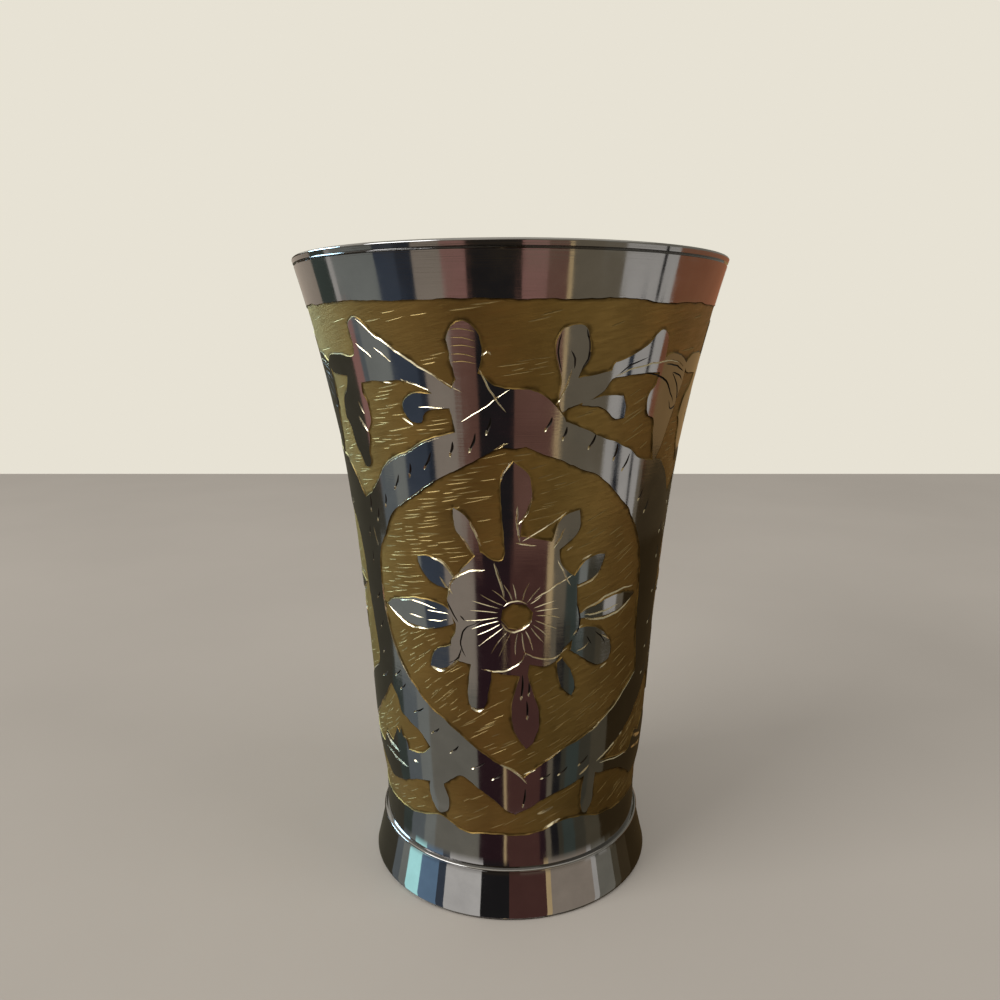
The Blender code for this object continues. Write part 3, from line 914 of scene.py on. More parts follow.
def ornament_drawing(relief):
    """The whole drawing of one repeat."""
    drawing = Drawing()
    rng = random.Random(5)
    edges = draw_fields(drawing) + draw_islands(drawing)
    draw_cuts(drawing, relief)
    draw_wall_feet(drawing, edges)
    for zone in STROKE_SHARE:
        draw_chisel_strokes(drawing, zone, relief, rng)
    draw_dots(drawing)
    return drawing


class Sheet:
    """Triangles of the unrolled ornament, all the way round."""

    def __init__(self, drawing, relief):
        self.points = []
        self.heights = {}
        self.lines = []
        self.spines = set()
        self.feet = set()
        self.border = self.border_loop()
        for repeat in range(-2, 3):
            self.add_repeat(drawing, repeat * REPEAT_WIDTH)
        self.triangulate(drawing, relief)

    def border_loop(self):
        """Loop of the sheet's own edge, with a point for every step of the turned bands it joins."""
        half = SHEET_WIDTH / 2
        columns = [half * (2 * step / TURN_STEPS - 1) for step in range(TURN_STEPS + 1)]
        heights = span(SHEET_BOTTOM, SHEET_TOP, SEAM_STEPS)[1:-1]
        self.points += [Vector((x, SHEET_BOTTOM)) for x in columns]
        self.points += [Vector((half, height)) for height in heights]
        self.points += [Vector((x, SHEET_TOP)) for x in reversed(columns)]
        self.points += [Vector((-half, height)) for height in reversed(heights)]
        return list(range(len(self.points)))

    def add_repeat(self, drawing, shift):
        """Adds what of a shifted drawing lies on the sheet."""
        half = SHEET_WIDTH / 2
        numbers = {}

        def number_of(index):
            if index not in numbers:
                numbers[index] = len(self.points)
                self.points.append(drawing.points[index] + Vector((shift, 0.0)))
                if index in drawing.heights:
                    self.heights[numbers[index]] = drawing.heights[index]
                if index in drawing.spines:
                    self.spines.add(numbers[index])
                if index in drawing.feet:
                    self.feet.add(numbers[index])
            return numbers[index]

        for pair in drawing.lines:
            places = [drawing.points[index].x + shift for index in pair]
            if any(index in drawing.heights for index in pair):
                fits = max(map(abs, places)) < half - CLEARANCE
            else:
                fits = min(places) < half and max(places) > -half
            if fits:
                self.lines.append([number_of(index) for index in pair])
        for stroke in drawing.strokes:
            if all(abs(drawing.points[index].x + shift) < half - CLEARANCE for index, _ in stroke):
                self.lines += [[number_of(index) for index in pair] for pair in stroke]
        for index in drawing.dots:
            if abs(drawing.points[index].x + shift) < half - CLEARANCE:
                number_of(index)

    def triangulate(self, drawing, relief):
        """Cuts the sheet into triangles and gives every corner its height above the plating."""
        cut = delaunay_2d_cdt(self.points, self.lines, [self.border], 1, WELD, True)
        self.corners, _, triangles, sources, _, _ = cut
        self.triangles = []
        centres = []
        for triangle in triangles:
            centre = sum((self.corners[corner] for corner in triangle), Vector((0, 0))) / 3
            if abs(centre.x) < SHEET_WIDTH / 2:
                self.triangles.append(triangle)
                centres.append(centre)
        self.kinds, _ = drawing.surface(centres)
        spines = {corner for corner, origins in enumerate(sources) if self.spines.intersection(origins)}
        touches = [0] * len(self.corners)
        for index, triangle in enumerate(self.triangles):
            if spines.intersection(triangle):
                self.kinds[index] = STROKE
            for corner in triangle:
                touches[corner] |= 1 << int(self.kinds[index])
        plated = 1 << PLATE | 1 << ISLAND
        self.corner_heights = []
        self.corner_shade_and_grime = []
        for touch, origins in zip(touches, sources):
            is_edge = bool(touch & plated)
            known = [self.heights[origin] for origin in origins if origin in self.heights]
            if known:
                height = min(known)
            else:
                height = 0.0 if is_edge else -relief
            self.corner_heights.append(height)
            # Corners on the plated edges and the wall feet get the painted shade and grime of the ground
            self.corner_shade_and_grime.append(1.0 if is_edge or self.feet.intersection(origins) else 0.0)


def on_wall(points):
    """Places on the cup, in metres, of points of the unrolled sheet and their heights, in millimetres."""
    x, z, height = np.array(points).T / 1000
    angle = np.radians(x * 1000 / MM_PER_DEGREE)
    radius, slope = WALL.at(z)
    reach = np.hypot(1.0, slope)
    radius = radius + height / reach
    return np.column_stack((radius * np.sin(angle), -radius * np.cos(angle), z - height * slope / reach))


def unevenness(x, z):
    """Wander along the wall and in depth that keeps the repeats from being exact copies."""
    degrees = x / MM_PER_DEGREE
    angle = math.radians(degrees)
    place = Vector((math.sin(angle) * DRAWING_RADIUS, -math.cos(angle) * DRAWING_RADIUS, z))
    fade = min(1.0, (z - SHEET_BOTTOM) / 2, (SHEET_TOP - z) / 2)
    wander = noise.noise_vector(place * 0.11) * (0.3 * fade)
    depth = noise.noise(place * 0.4 + Vector((50, 0, 0)))
    # The pull works on the medallion to the left alone, and fades out round it
    beside = eased((-52 - degrees) / 15) * eased((degrees + 115) / 40)
    pull = MEDALLION_PULL * beside * eased((z - 40) / 8) * eased((78 - z) / 6)
    return wander.x + pull, wander.y, depth


# Turned shapes


def turned(profile, steps):
    """Mesh of a profile of radii and heights, turned a full circle about the cup's axis from the back."""
    bm = bmesh.new()
    verts = [bm.verts.new((0, radius, height)) for radius, height in profile]
    edges = [bm.edges.new(pair) for pair in zip(verts, verts[1:])]
    circle = {"cent": (0, 0, 0), "axis": (0, 0, 1), "angle": math.tau, "steps": steps, "use_merge": True}
    bmesh.ops.spin(bm, geom=verts + edges, **circle)
    for face in bm.faces:
        face.smooth = True
    return bm


def closed_up(bm):
    """Merges the doubles of a mesh and turns its faces outwards."""
    bmesh.ops.remove_doubles(bm, verts=bm.verts, dist=MERGE_DISTANCE)
    bmesh.ops.recalc_face_normals(bm, faces=bm.faces)


def sharpen(bm, degrees):
    """Makes those edges sharp that bend by more than an angle."""
    for edge in bm.edges:
        edge.smooth = edge.calc_face_angle(0.0) < math.radians(degrees)


def arc(centre, radius, start_degrees, end_degrees, steps=6):
    """Points of a circular arc in a profile."""
    points = []
    for step in range(steps + 1):
        angle = math.radians(start_degrees + (end_degrees - start_degrees) * step / steps)
        points.append((centre[0] + radius * math.cos(angle), centre[1] + radius * math.sin(angle)))
    return points


def span(low, high, steps):
    """Evenly spaced values from one end to the other."""
    return [low + (high - low) * step / steps for step in range(steps + 1)]


def unrolled_uv(bm):
    """Gives every corner its place on the unrolled cup, in metres, as a UV map."""
    layer = bm.loops.layers.uv.new("unrolled")
    for face in bm.faces:
        centre = face.calc_center_median()
        middle = math.atan2(centre.x, -centre.y)
        for loop in face.loops:
            place = loop.vert.co
            angle = math.atan2(place.x, -place.y)
            angle = middle + (angle - middle + math.pi) % math.tau - math.pi
            loop[layer].uv = (angle * DRAWING_RADIUS / 1000, place.z)


def new_object(name, bm, materials):
    """Object of a mesh with its materials."""
    mesh = bpy.data.meshes.new(name)
    bm.to_mesh(mesh)
    bm.free()
    for material in materials:
        mesh.materials.append(material)
    piece = bpy.data.objects.new(name, mesh)
    bpy.context.scene.collection.objects.link(piece)
    return piece


def finished_piece(name, bm, materials, node):
    """Object of a finished mesh, riding on the part in place of its CAD node."""
    unrolled_uv(bm)
    piece = new_object(name, bm, materials)
    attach(piece, "root")
    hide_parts(node)
    return piece


# Materials


class Nodes:
    """Node tree of a material or a world, with short calls for its nodes."""

    def __init__(self, owner):
        owner.use_nodes = True
        self.tree = owner.node_tree

    def node(self, kind, inputs=(), **values):
        """New node with its settings and its inputs, each a value or the socket that feeds it."""
        node = self.tree.nodes.new(kind)
        for key, value in values.items():
            setattr(node, key, value)
        for key, value in dict(inputs).items():
            self.feed(node.inputs[key], value)
        return node

    def feed(self, socket, value):
        """Sets a socket, or links it where the value is another socket."""
        if isinstance(value, bpy.types.NodeSocket):
            self.tree.links.new(value, socket)
        else:
            socket.default_value = value


class Finish(Nodes):
    """Node tree of a finish of the tumbler."""

    def __init__(self, name):
        self.material = bpy.data.materials.new(name)
        super().__init__(self.material)
        self.shader = self.tree.nodes["Principled BSDF"]

    def set(self, **inputs):
        """Sets the shader's inputs by their names, with underscores for spaces."""
        for key, value in inputs.items():
            self.feed(self.shader.inputs[key.replace("_", " ")], value)

    def object_place(self):
        """Object coordinates."""
        return self.node("ShaderNodeTexCoord").outputs["Object"]

    def unrolled_place(self, scale, turn=0.0):
        """Coordinates on the unrolled cup, stretched and turned."""
        uv = self.node("ShaderNodeUVMap", uv_map="unrolled").outputs["UV"]
        for setting in ({"Rotation": (0, 0, turn)}, {"Scale": scale}):
            uv = self.node("ShaderNodeMapping", {"Vector": uv, **setting}).outputs["Vector"]
        return uv

    def noise(self, place, scale, detail=3.0, roughness=0.5):
        """Cloudy values between 0 and 1."""
        inputs = {"Vector": place, "Scale": scale, "Detail": detail, "Roughness": roughness}
        return self.node("ShaderNodeTexNoise", inputs).outputs["Fac"]

    def between(self, value, low, high, from_low=0.3, from_high=0.7):
        """A value moved into a range."""
        ends = {"From Min": from_low, "From Max": from_high, "To Min": low, "To Max": high}
        return self.node("ShaderNodeMapRange", {"Value": value, **ends}).outputs["Result"]

    def blend(self, factor, first, second):
        """Two colours mixed by a factor."""
        node = self.node("ShaderNodeMix", data_type="RGBA")
        self.feed(node.inputs[0], factor)
        for socket, value in ((node.inputs[6], first), (node.inputs[7], second)):
            self.feed(socket, value if isinstance(value, bpy.types.NodeSocket) else (*value[:3], 1.0))
        return node.outputs[2]

    def bump(self, height, distance, normal=None):
        """Normals of a surface with a small height, in metres."""
        inputs = {"Height": height, "Distance": distance, "Strength": 1.0}
        if normal is not None:
            inputs["Normal"] = normal
        return self.node("ShaderNodeBump", inputs).outputs["Normal"]


def shade(colour, factor):
    """A colour made lighter or darker."""
    return tuple(channel * factor for channel in colour[:3])


def plated_finish(name, colour, gloss):
    """Dark mirror plating with turning lines, slight waves and handling marks."""
    finish = Finish(name)
    place = finish.object_place()
    lines = finish.noise(finish.unrolled_place((60, 5200, 1)), 1.0, 2.0)
    waves = finish.noise(place, 70.0, 1.0)
    smudges = finish.noise(place, 190.0, 5.0, 0.6)
    finish.set(
        Metallic=1.0,
        Base_Color=finish.blend(finish.between(smudges, 0, 1), shade(colour, 0.9), shade(colour, 1.06)),
        Roughness=finish.between(smudges, gloss, gloss + 0.06),
        Normal=finish.bump(lines, 0.0000022, finish.bump(waves, 0.00006)),
    )
    return finish.material


def ground_finish(colour):
    """Bare brass cut away with a flat chisel, with painted shade and grime at the foot of the plated edges.
    """
    finish = Finish("chiselled_ground")
    place = finish.object_place()
    grain = finish.noise(finish.unrolled_place((260, 1500, 1), math.radians(-14)), 1.0, 4.0, 0.6)
    patches = finish.noise(place, 120.0, 4.0, 0.6)
    # The attribute read here marks the foot of the plated edges, darkened in patches as painted shade and
    # grime
    edge = finish.node("ShaderNodeAttribute", attribute_name="shade_and_grime").outputs["Fac"]
    tone = finish.blend(finish.between(patches, 0, 1), shade(colour, 0.8), shade(colour, 1.08))
    worn = finish.blend(finish.between(grain, 0.3, 0.0), tone, shade(colour, 0.55))
    shade_and_grime_patches = finish.between(finish.noise(place, 260.0, 2.0), 0.25, 1.0, 0.4, 0.6)
    rim = finish.between(edge, 0.0, 0.9, 0.5, 1.0)
    shade_and_grime = finish.node("ShaderNodeMath", {0: rim, 1: shade_and_grime_patches}, operation="MULTIPLY").outputs[0]
    finish.set(
        Metallic=1.0,
        # Painted shade and grime: the ground darkens to a sixth of its colour at the foot of the plated
        # edges
        Base_Color=finish.blend(shade_and_grime, worn, shade(colour, 0.16)),
        Roughness=finish.between(grain, 0.56, 0.42),
        Normal=finish.bump(grain, 0.00007),
    )
    return finish.material


def cut_finish(name, colour, gloss):
    """Metal in the cuts of a graver or a chisel."""
    finish = Finish(name)
    grain = finish.noise(finish.object_place(), 900.0, 3.0)
    finish.set(
        Metallic=1.0,
        Base_Color=finish.blend(finish.between(grain, 0, 1), shade(colour, 0.75), colour),
        Roughness=finish.between(grain, gloss, gloss + 0.14),
        Normal=finish.bump(grain, 0.00002),
    )
    return finish.material


def turned_brass_finish(colour):
    """Dull brass plate with turning rings."""
    finish = Finish("turned_brass")
    place = finish.object_place()
    spread = finish.node("ShaderNodeVectorMath", {0: place, 1: (1, 1, 0)}, operation="MULTIPLY")
    reach = finish.node("ShaderNodeVectorMath", {0: spread.outputs[0]}, operation="LENGTH")
    ring = finish.node("ShaderNodeCombineXYZ", {"X": reach.outputs["Value"]}).outputs[0]
    rings = finish.noise(ring, 2400.0, 2.0)
    stains = finish.noise(place, 110.0, 5.0, 0.6)
    finish.set(
        Metallic=1.0,
        Base_Color=finish.blend(finish.between(stains, 0, 1), shade(colour, 0.7), shade(colour, 1.1)),
        Roughness=finish.between(stains, 0.45, 0.3),
        Normal=finish.bump(rings, 0.00004),
    )
    return finish.material


def solder_finish(colour):
    """Dull grey tin solder."""
    finish = Finish("soft_solder")
    place = finish.object_place()
    lumps = finish.noise(place, 420.0, 4.0, 0.6)
    finish.set(
        Metallic=1.0,
        Base_Color=finish.blend(finish.between(lumps, 0, 1), shade(colour, 0.7), shade(colour, 1.1)),
        Roughness=finish.between(lumps, 0.55, 0.38),
        Normal=finish.bump(lumps, 0.00012),
    )
    return finish.material


# The add-on's values


def length_value(name, description, default):
    """Property that holds a length in metres."""
    return FloatProperty(name=name, description=description, default=default, unit="LENGTH")


def colour_value(name, description, default):
    """Property that holds a colour."""
    return FloatVectorProperty(name=name, description=description, default=default, subtype="COLOR")


class TumblerValues(PropertyGroup):
    """Sizes and colours that a user of the tumbler would change."""

    relief: length_value("Relief", "Depth of the ground under the plating", 0.00014)
    wall_thickness: length_value("Wall", "Thickness of the spun wall", 0.0012)
    lip_height: length_value("Lip", "From the rim down to the turned groove", 0.0013)
    groove_width: length_value("Groove width", "Width of the groove under the lip", 0.00045)
    groove_depth: length_value("Groove depth", "Depth of the groove under the lip", 0.0003)
    ledge_round: length_value("Ledge round", "Radius of the bright ledge over the foot", 0.00036)
    plating: colour_value("Plating", "Colour of the dark mirror plating", (0.33, 0.325, 0.325))
    lining: colour_value("Lining", "Colour of the plating inside the cup", (0.46, 0.44, 0.41))
    ground: colour_value("Ground", "Colour of the chiselled brass", (0.42, 0.275, 0.09))
    bright_cut: colour_value("Bright cut", "Colour of the brass in the graver's cuts", (0.88, 0.79, 0.57))
    chisel_stroke: colour_value("Chisel stroke", "Colour of the strokes in the ground", (0.46, 0.34, 0.145))
    # Near black: painted shade in the scribed grooves and the nick tails
    scribe_painted_shade: colour_value("Dark scribe", "Colour of the scribed lines", (0.06, 0.05, 0.045))
    bare_brass: colour_value("Bare brass", "Colour of the floor plate", (0.55, 0.38, 0.15))
    solder: colour_value("Solder", "Colour of the tin solder", (0.42, 0.42, 0.42))
    floor: colour_value("Floor", "Colour of the floor", (0.47, 0.43, 0.38))
    backdrop: colour_value("Backdrop", "Colour of the backdrop", (0.80, 0.76, 0.66))


# Pieces

# Places of the engraved wall's materials in its list, and the material of each surface of the drawing
PLATED, GROUND, BRIGHT, LINING, CHISELLED, SCRIBED = range(6)
MATERIAL_OF = {
    PLATE: PLATED, ISLAND: PLATED, FIELD: GROUND, CELL: GROUND, CUT: BRIGHT, STROKE: CHISELLED,
    SCRIBE: SCRIBED,
}


def rim_chain(values):
    """Profile from the top of the ornament over the rim, down the inside and back up to its bottom."""
    top = CAD_BOX[1].z
    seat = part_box("body_shell")[0].z
    thick = values.wall_thickness
    groove = top - values.lip_height
    half = values.groove_width / 2
    chain = [(WALL.at(height)[0], height) for height in span(SHEET_TOP / 1000, groove - half, 6)]
    for part in (-0.55, 0.0, 0.55):
        height = groove + half * part
        chain.append((WALL.at(height)[0] - values.groove_depth * (1 - part * part), height))
    round_radius = RIM_ROUND * thick
    shoulder = top - round_radius
    chain += [(WALL.at(height)[0], height) for height in span(groove + half, shoulder, 2)[:-1]]
    outside = WALL.at(shoulder)[0]
    chain += arc((outside - round_radius, shoulder), round_radius, 0, 90)
    chain += arc((outside - thick + round_radius, shoulder), round_radius, 90, 180)
    chain += [(WALL.at(height)[0] - thick, height) for height in span(shoulder, seat, 36)[1:]]
    waist = WALL.at(SHEET_BOTTOM / 1000)[0]
    for height in span(seat, SHEET_BOTTOM / 1000, 6):
        chain.append((waist + SKIRT_SHARE * (WALL.at(height)[0] - waist), height))
    return chain


class TUMBLER_OT_engraved_wall(Operator):
    """Model the spun wall with its chiselled ornament"""

    bl_idname = "tumbler.engraved_wall"
    bl_label = "Engraved Wall"

    def execute(self, context):
        noise.seed_set(WANDER_SEED)
        values = settings()
        relief = values.relief * 1000
        sheet = Sheet(ornament_drawing(relief), relief)
        bm = turned(rim_chain(values), TURN_STEPS)
        # Marks for the painted shade and grime at the foot of the plated edges
        shade_and_grime = bm.verts.layers.float.new("shade_and_grime")
        for face in bm.faces:
            centre = face.calc_center_median()
            depth = WALL.at(centre.z)[0] - math.hypot(centre.x, centre.y)
            face.material_index = LINING if depth > values.wall_thickness / 2 else PLATED
        wandered = []
        for corner, height in zip(sheet.corners, sheet.corner_heights):
            along, up, depth = unevenness(corner.x, corner.y)
            wandered.append((corner.x + along, corner.y + up, height * (1 + 0.35 * depth)))
        verts = [bm.verts.new(place) for place in on_wall(wandered)]
        for vert, value in zip(verts, sheet.corner_shade_and_grime):
            vert[shade_and_grime] = value
        for triangle, kind in zip(sheet.triangles, sheet.kinds):
            face = bm.faces.new([verts[corner] for corner in triangle])
            face.material_index = MATERIAL_OF[int(kind)]
            face.smooth = True
        bmesh.ops.delete(bm, geom=[vert for vert in bm.verts if not vert.link_faces], context="VERTS")
        closed_up(bm)
        sharpen(bm, 25)
        for edge in bm.edges:
            if len({face.material_index for face in edge.link_faces}) != 1:
                edge.smooth = False
        materials = [
            plated_finish("plated_outside", values.plating, 0.05),
            ground_finish(values.ground),
            cut_finish("bright_cut", values.bright_cut, 0.16),
            plated_finish("plated_inside", values.lining, 0.2),
            cut_finish("chisel_stroke", values.chisel_stroke, 0.46),
            cut_finish("scribe_painted_shade", values.scribe_painted_shade, 0.3),
        ]
        piece = finished_piece("engraved_wall", bm, materials, "body_shell")
        shape_normals(piece.data, values)
        return {"FINISHED"}


def shape_normals(mesh, values):
    """Gives the plating the wall's own normals, past every cut, and the ground those of its facets."""
    shoulder = CAD_BOX[1].z - RIM_ROUND * values.wall_thickness
    places = np.array([vert.co for vert in mesh.vertices])
    reach = np.hypot(places[:, 0], places[:, 1])
    radius, slope = WALL.at(places[:, 2])
    across = places[:, :2] / reach[:, None]
    plated = np.column_stack((across, -slope))
    plated /= np.linalg.norm(plated, axis=1)[:, None]
    level = (places[:, 2] * 1000 - SHEET_BOTTOM) / (SHEET_TOP - SHEET_BOTTOM)
    lean = np.radians(CHISEL_LEANS[0] + (CHISEL_LEANS[1] - CHISEL_LEANS[0]) * level)
    leaning = plated.copy()
    leaning[:, 0] = plated[:, 0] * np.cos(lean) - plated[:, 1] * np.sin(lean)
    leaning[:, 1] = plated[:, 0] * np.sin(lean) + plated[:, 1] * np.cos(lean)
    is_wall = (places[:, 2] < shoulder) & (np.abs(reach - radius) < 0.00001)
    corner_normals = np.zeros((len(mesh.loops), 3))
    for face in mesh.polygons:
        corners = list(face.vertices)
        if face.material_index == PLATED and is_wall[corners].all():
            corner_normals[list(face.loop_indices)] = plated[corners]
        elif face.material_index == GROUND and not is_wall[corners].any():
            corner_normals[list(face.loop_indices)] = leaning[corners]
    mesh.normals_split_custom_set(corner_normals.tolist())


class TUMBLER_OT_foot(Operator):
    """Turn the flared foot with its bright ledge"""

    bl_idname = "tumbler.foot"
    bl_label = "Foot"

    def execute(self, context):
        values = settings()
        low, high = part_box("foot_ring")
        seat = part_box("body_shell")[0].z
        widest = high.x
        shoulder = WALL.at(seat)[0] + LEDGE_WIDTH
        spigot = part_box("floor_disc")[1].x
        bore = spigot - SPIGOT_WALL
        curl = values.ledge_round
        edge = FOOT_EDGE_ROUND
        ledge_top = seat - LEDGE_CLEARANCE
        profile = [(spigot, high.z), (spigot, ledge_top), (shoulder - curl, ledge_top)]
        profile += arc((shoulder - curl, ledge_top - curl), curl, 90, -70, 10)[1:]
        flare_radius, flare_start = profile[-1]
        for t in span(0.0, 1.0, 12)[1:]:
            height = flare_start + (edge - flare_start) * t
            flare = (1 - FLARE_BEND) * t + FLARE_BEND * t * t
            profile.append((flare_radius + (widest - flare_radius) * flare, height))
        profile += arc((widest - edge, edge), edge, 0, -90)[1:]
        profile += [(widest - REST_WIDTH, low.z), (shoulder - FOOT_WALL, WEB_HEIGHT)]
        profile += [(bore, WEB_HEIGHT), (bore, high.z), profile[0]]
        bm = turned(profile, TURN_STEPS // 2)
        closed_up(bm)
        sharpen(bm, 35)
        materials = [plated_finish("plated_foot", values.plating, 0.05)]
        finished_piece("turned_foot", bm, materials, "foot_ring")
        return {"FINISHED"}


class TUMBLER_OT_floor_plate(Operator):
    """Turn the floor plate"""

    bl_idname = "tumbler.floor_plate"
    bl_label = "Floor Plate"

    def execute(self, context):
        values = settings()
        low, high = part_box("floor_disc")
        edge = FLOOR_EDGE_ROUND
        profile = [(0.0, high.z - FLOOR_DISH)]
        for radius in span(0.0005, high.x - edge, 44):
            ripple = FLOOR_RIPPLE * math.sin(radius * FLOOR_RIPPLE_TURN)
            profile.append((radius, high.z - FLOOR_RIPPLE_DEPTH + ripple))
        profile += arc((high.x - edge, high.z - edge), edge, 90, 0, 3)[1:]
        profile += arc((high.x - edge, low.z + edge), edge, 0, -90, 3)
        profile += [(radius, low.z) for radius in span(high.x - 0.002, 0.002, 8)]
        profile.append((0.0, low.z))
        bm = turned(profile, TURN_STEPS // 3)
        closed_up(bm)
        materials = [turned_brass_finish(values.bare_brass)]
        finished_piece("floor_plate", bm, materials, "floor_disc")
        return {"FINISHED"}


class TUMBLER_OT_solder(Operator):
    """Model the solder fillets above and under the floor"""

    bl_idname = "tumbler.solder"
    bl_label = "Solder"

    def execute(self, context):
        noise.seed_set(WANDER_SEED)
        material = solder_finish(settings().solder)
        for name, node, turn in (("floor_fillet", "floor_seam", -1), ("foot_fillet", "foot_seam", 1)):
            low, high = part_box(node)
            outside, leg = high.x, high.z - low.z
            corner = low.z if turn < 0 else high.z
            far = high.z if turn < 0 else low.z
            toe = SOLDER_TOE
            hollow = arc((outside - leg, far), leg - toe, 90 * turn, 0, 8)
            ends = [(outside, corner), (outside - leg, corner)]
            bm = turned([*ends, *hollow, (outside, far), ends[0]], TURN_STEPS // 2)
            closed_up(bm)
            for vert in bm.verts:
                is_inward = math.hypot(vert.co.x, vert.co.y) < outside - toe / 2
                if is_inward and abs(vert.co.z - corner) > toe / 2:
                    vert.co += noise.noise_vector(vert.co * SOLDER_LUMPS) * SOLDER_LUMP
            sharpen(bm, 50)
            finished_piece(name, bm, [material], node)
        return {"FINISHED"}


# Stage


def card_material():
    """Even glow of the cards, in their own tones and as solid as their corners are."""
    material = bpy.data.materials.new("reflection_cards")
    nodes = Nodes(material)
    nodes.tree.nodes.clear()
    tone = nodes.node("ShaderNodeAttribute", attribute_name="tone").outputs
    glow = nodes.node("ShaderNodeEmission", {"Color": tone["Color"]}).outputs[0]
    nothing = nodes.node("ShaderNodeBsdfTransparent").outputs[0]
    mix = nodes.node("ShaderNodeMixShader", {0: tone["Alpha"], 1: nothing, 2: glow}).outputs[0]
    nodes.node("ShaderNodeOutputMaterial", {"Surface": mix})
    return material


def stage_piece(name, bm, material):
    """Object of the set, which isn't part of the tumbler."""
    piece = new_object(name, bm, [material])
    return piece


def only_in_metal(piece):
    """Lets a piece of the set show only in reflections."""
    piece.visible_camera = False
    piece.visible_diffuse = False
    piece.visible_transmission = False
    piece.visible_volume_scatter = False
    piece.visible_shadow = False


def mirrored(degrees, height, radius, slope, reach=CARD_REACH):
    """Where the camera's ray to a place on the cup's outside meets the cards after its reflection."""
    angle = math.radians(degrees)
    outward = Vector((math.sin(angle), -math.cos(angle), 0.0))
    place = outward * float(radius) + Vector((0, 0, height))
    normal = (outward - Vector((0, 0, slope))).normalized()
    ray = (place - Vector(CAMERA_PLACE)).reflect(normal)
    ray /= ray.xy.length
    along = place.xy.dot(ray.xy)
    return place + ray * (math.sqrt(along**2 + reach**2 - place.xy.length_squared) - along)


def wall_card_column(bm, degrees):
    """Corners of the rows of cards at one angle on the wall, from the top down."""
    raised = min(1.0, max(0.0, (degrees + 6) / 24))
    low_end = LOW_ROW_ENDS[0] * (1 - raised) + LOW_ROW_ENDS[1] * raised
    ends = (*CARD_ROW_ENDS, low_end, UNDER_ROW_END)
    rows = [mirrored(degrees, height / 1000, *WALL.at(height / 1000)) for height in ends]
    rows[-1].z -= UNDER_ROW_GAP
    head = rows[0].xy.to_3d() + Vector((0, 0, CARD_HEADS[0] * (1 - raised) + CARD_HEADS[1] * raised))
    foot = rows[-1].xy.to_3d() + Vector((0, 0, CARD_FOOT))
    return [bm.verts.new(place) for place in (head, *rows, foot)]


def foot_card_column(bm, degrees, bottom, top):
    """Corners of a card that the foot mirrors at one angle between two rings, from the top down."""
    slope = (top[0] - bottom[0]) / (top[1] - bottom[1])
    hits = [mirrored(degrees, height, radius, slope, FOOT_REACH) for radius, height in (bottom, top)]
    hits.sort(key=lambda hit: -hit.z)
    places = [hits[0] + Vector((0, 0, rise)) for rise in FOOT_FADE]
    places.append(hits[1] - Vector((0, 0, FOOT_MARGIN)))
    return [bm.verts.new(place) for place in places]


def tone_cards(bm, columns, angles, rows, head_alpha=1.0):
    """Faces between neighbouring columns of corners, in the tones of their cards."""
    tone = bm.loops.layers.float_color["tone"]
    for index, (left, right) in enumerate(zip(columns, columns[1:])):
        middle = (angles[index] + angles[index + 1]) / 2
        for row, cards in enumerate(rows):
            name = next(name for end, name in cards if middle <= end)
            face = bm.faces.new((left[row], left[row + 1], right[row + 1], right[row]))
            for loop in face.loops:
                is_head = loop.vert in (left[0], right[0])
                loop[tone] = (*TONES[name], head_alpha if is_head else 1.0)


def card_ring():
    """Rows of cards round the set, whose reflections draw the streaks in the plating."""
    bm = bmesh.new()
    tone = bm.loops.layers.float_color.new("tone")
    angles = span(-CARD_SPAN, CARD_SPAN, CARD_STEPS)
    columns = [wall_card_column(bm, angle) for angle in angles]
    tone_cards(bm, columns, angles, CARD_ROWS)
    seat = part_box("body_shell")[0].z
    bottom, top = (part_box("foot_ring")[1].x, 0.0), (WALL.at(seat)[0], seat)
    foot_angles = span(-FOOT_SPAN, FOOT_SPAN, FOOT_STEPS)
    foot_columns = [foot_card_column(bm, angle, bottom, top) for angle in foot_angles]
    tone_cards(bm, foot_columns, foot_angles, (FOOT_CARDS, FOOT_CARDS), 0.0)
    back = bm.faces.new((columns[-1][0], columns[-1][-1], columns[0][-1], columns[0][0]))
    cap = bmesh.ops.create_circle(bm, cap_ends=True, segments=48, radius=CARD_REACH)["verts"]
    bmesh.ops.translate(bm, verts=cap, vec=(0, 0, CARD_FOOT))
    for face, name in ((back, "shade"), (cap[0].link_faces[0], "umber")):
        for loop in face.loops:
            loop[tone] = (*TONES[name], 1.0)
    only_in_metal(stage_piece("reflection_cards", bm, card_material()))


def stage_floor(colour):
    """Pale floor with a faint unevenness of tone."""
    finish = Finish("stage_floor")
    tone = finish.noise(finish.object_place(), 9.0, 4.0)
    finish.set(
        Base_Color=finish.blend(finish.between(tone, 0, 1), shade(colour, 0.97), shade(colour, 1.03)),
        Roughness=0.8,
        Specular_IOR_Level=0.0,
    )
    bm = bmesh.new()
    bmesh.ops.create_grid(bm, x_segments=1, y_segments=1, size=FLOOR_SIZE)
    bmesh.ops.translate(bm, verts=bm.verts, vec=(0, FLOOR_END - FLOOR_SIZE, -FLOOR_DROP))
    floor = stage_piece("stage_floor", bm, finish.material)
    floor.visible_glossy = False


def studio_light(name, place, size, energy, colour=(1, 1, 1)):
    """Soft area lamp that looks at the cup."""
    lamp = bpy.data.lights.new(name, "AREA")
    lamp.shape = "RECTANGLE"
    lamp.size, lamp.size_y = size
    lamp.energy = energy
    lamp.color = colour
    rig = bpy.data.objects.new(name, lamp)
    rig.location = place
    aim = Vector(LIGHT_AIM) - Vector(place)
    rig.rotation_euler = aim.to_track_quat("-Z", "Y").to_euler()
    bpy.context.scene.collection.objects.link(rig)
    return rig


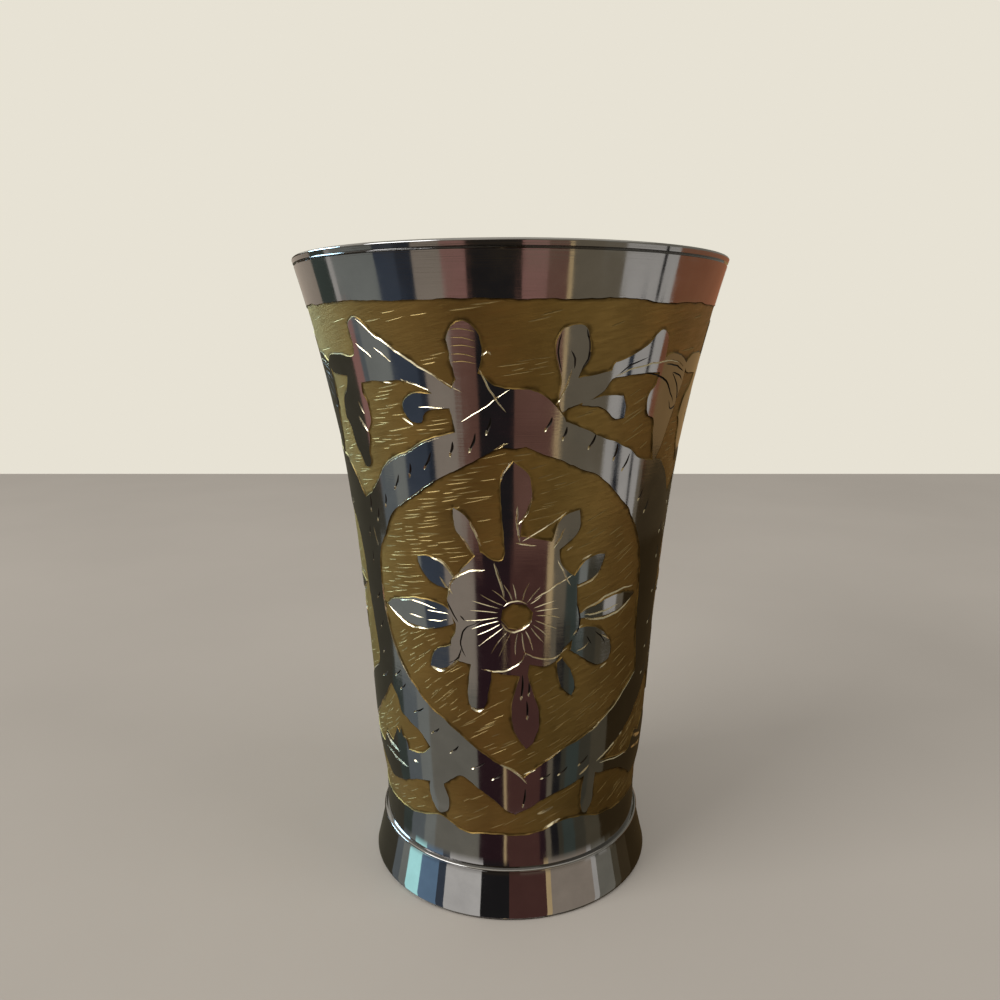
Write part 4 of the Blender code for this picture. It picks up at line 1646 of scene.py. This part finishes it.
def studio_world(colour):
    """Pale surroundings for the camera and the metal, and an even soft light."""
    world = bpy.data.worlds.new("studio")
    nodes = Nodes(world)
    nodes.tree.nodes.clear()
    rays = nodes.node("ShaderNodeLightPath").outputs
    seen = rays["Is Camera Ray"]
    for kind in ("Is Glossy Ray", "Is Transmission Ray"):
        seen = nodes.node("ShaderNodeMath", {0: seen, 1: rays[kind]}, operation="MAXIMUM").outputs[0]
    soft = nodes.node("ShaderNodeBackground", {"Color": (1, 0.98, 0.95, 1), "Strength": 0.55}).outputs[0]
    pale = nodes.node("ShaderNodeBackground", {"Color": (*colour, 1), "Strength": 1.0}).outputs[0]
    mix = nodes.node("ShaderNodeMixShader", {0: seen, 1: soft, 2: pale}).outputs[0]
    nodes.node("ShaderNodeOutputWorld", {"Surface": mix})
    bpy.context.scene.world = world


def photo_camera():
    """Camera at the photograph's viewing angle."""
    data = bpy.data.cameras.new("photo_camera")
    data.sensor_width = CAMERA_SENSOR
    data.lens = CAMERA_LENS
    data.shift_x = CAMERA_SHIFT
    data.clip_start = 0.005
    data.dof.use_dof = False
    camera = bpy.data.objects.new("photo_camera", data)
    camera.location = CAMERA_PLACE
    camera.rotation_euler = (math.pi / 2 - CAMERA_TILT, 0.0, 0.0)
    bpy.context.scene.collection.objects.link(camera)
    bpy.context.scene.camera = camera


class TUMBLER_OT_stage(Operator):
    """Set up the floor, the lights, the cards and the camera"""

    bl_idname = "tumbler.stage"
    bl_label = "Stage"

    def execute(self, context):
        values = settings()
        context.scene.view_settings.view_transform = "Standard"
        stage_floor(values.floor)
        card_ring()
        studio_world(values.backdrop)
        studio_light("window_light", (-1.0, -0.6, 0.68), (0.8, 0.6), 9.8)
        studio_light("fill_light", (0.9, -0.4, 0.7), (0.6, 0.6), 3.0).visible_glossy = False
        cool = (0.5, 0.8, 1.0)
        studio_light("side_light", (-0.95, 0.4, 0.35), (0.5, 0.5), 17.0, cool).visible_diffuse = False
        photo_camera()
        return {"FINISHED"}


class TUMBLER_PT_panel(Panel):
    """Lists the tumbler's pieces and values"""

    bl_label = "Tumbler"
    bl_space_type = "VIEW_3D"
    bl_region_type = "UI"
    bl_category = "Tumbler"

    def draw(self, context):
        for operator in OPERATORS:
            self.layout.operator(operator.bl_idname)
        for name in TumblerValues.__annotations__:
            self.layout.prop(settings(), name)


OPERATORS = (
    TUMBLER_OT_engraved_wall,
    TUMBLER_OT_foot,
    TUMBLER_OT_floor_plate,
    TUMBLER_OT_solder,
    TUMBLER_OT_stage,
)
CLASSES = (TumblerValues, *OPERATORS, TUMBLER_PT_panel)


def register():
    for cls in CLASSES:
        bpy.utils.register_class(cls)
    bpy.types.Scene.tumbler = PointerProperty(type=TumblerValues)


def unregister():
    del bpy.types.Scene.tumbler
    for cls in reversed(CLASSES):
        bpy.utils.unregister_class(cls)


def main():
    register()
    bpy.ops.tumbler.engraved_wall()
    bpy.ops.tumbler.foot()
    bpy.ops.tumbler.floor_plate()
    bpy.ops.tumbler.solder()
    bpy.ops.tumbler.stage()


if __name__ == "__main__":
    main()
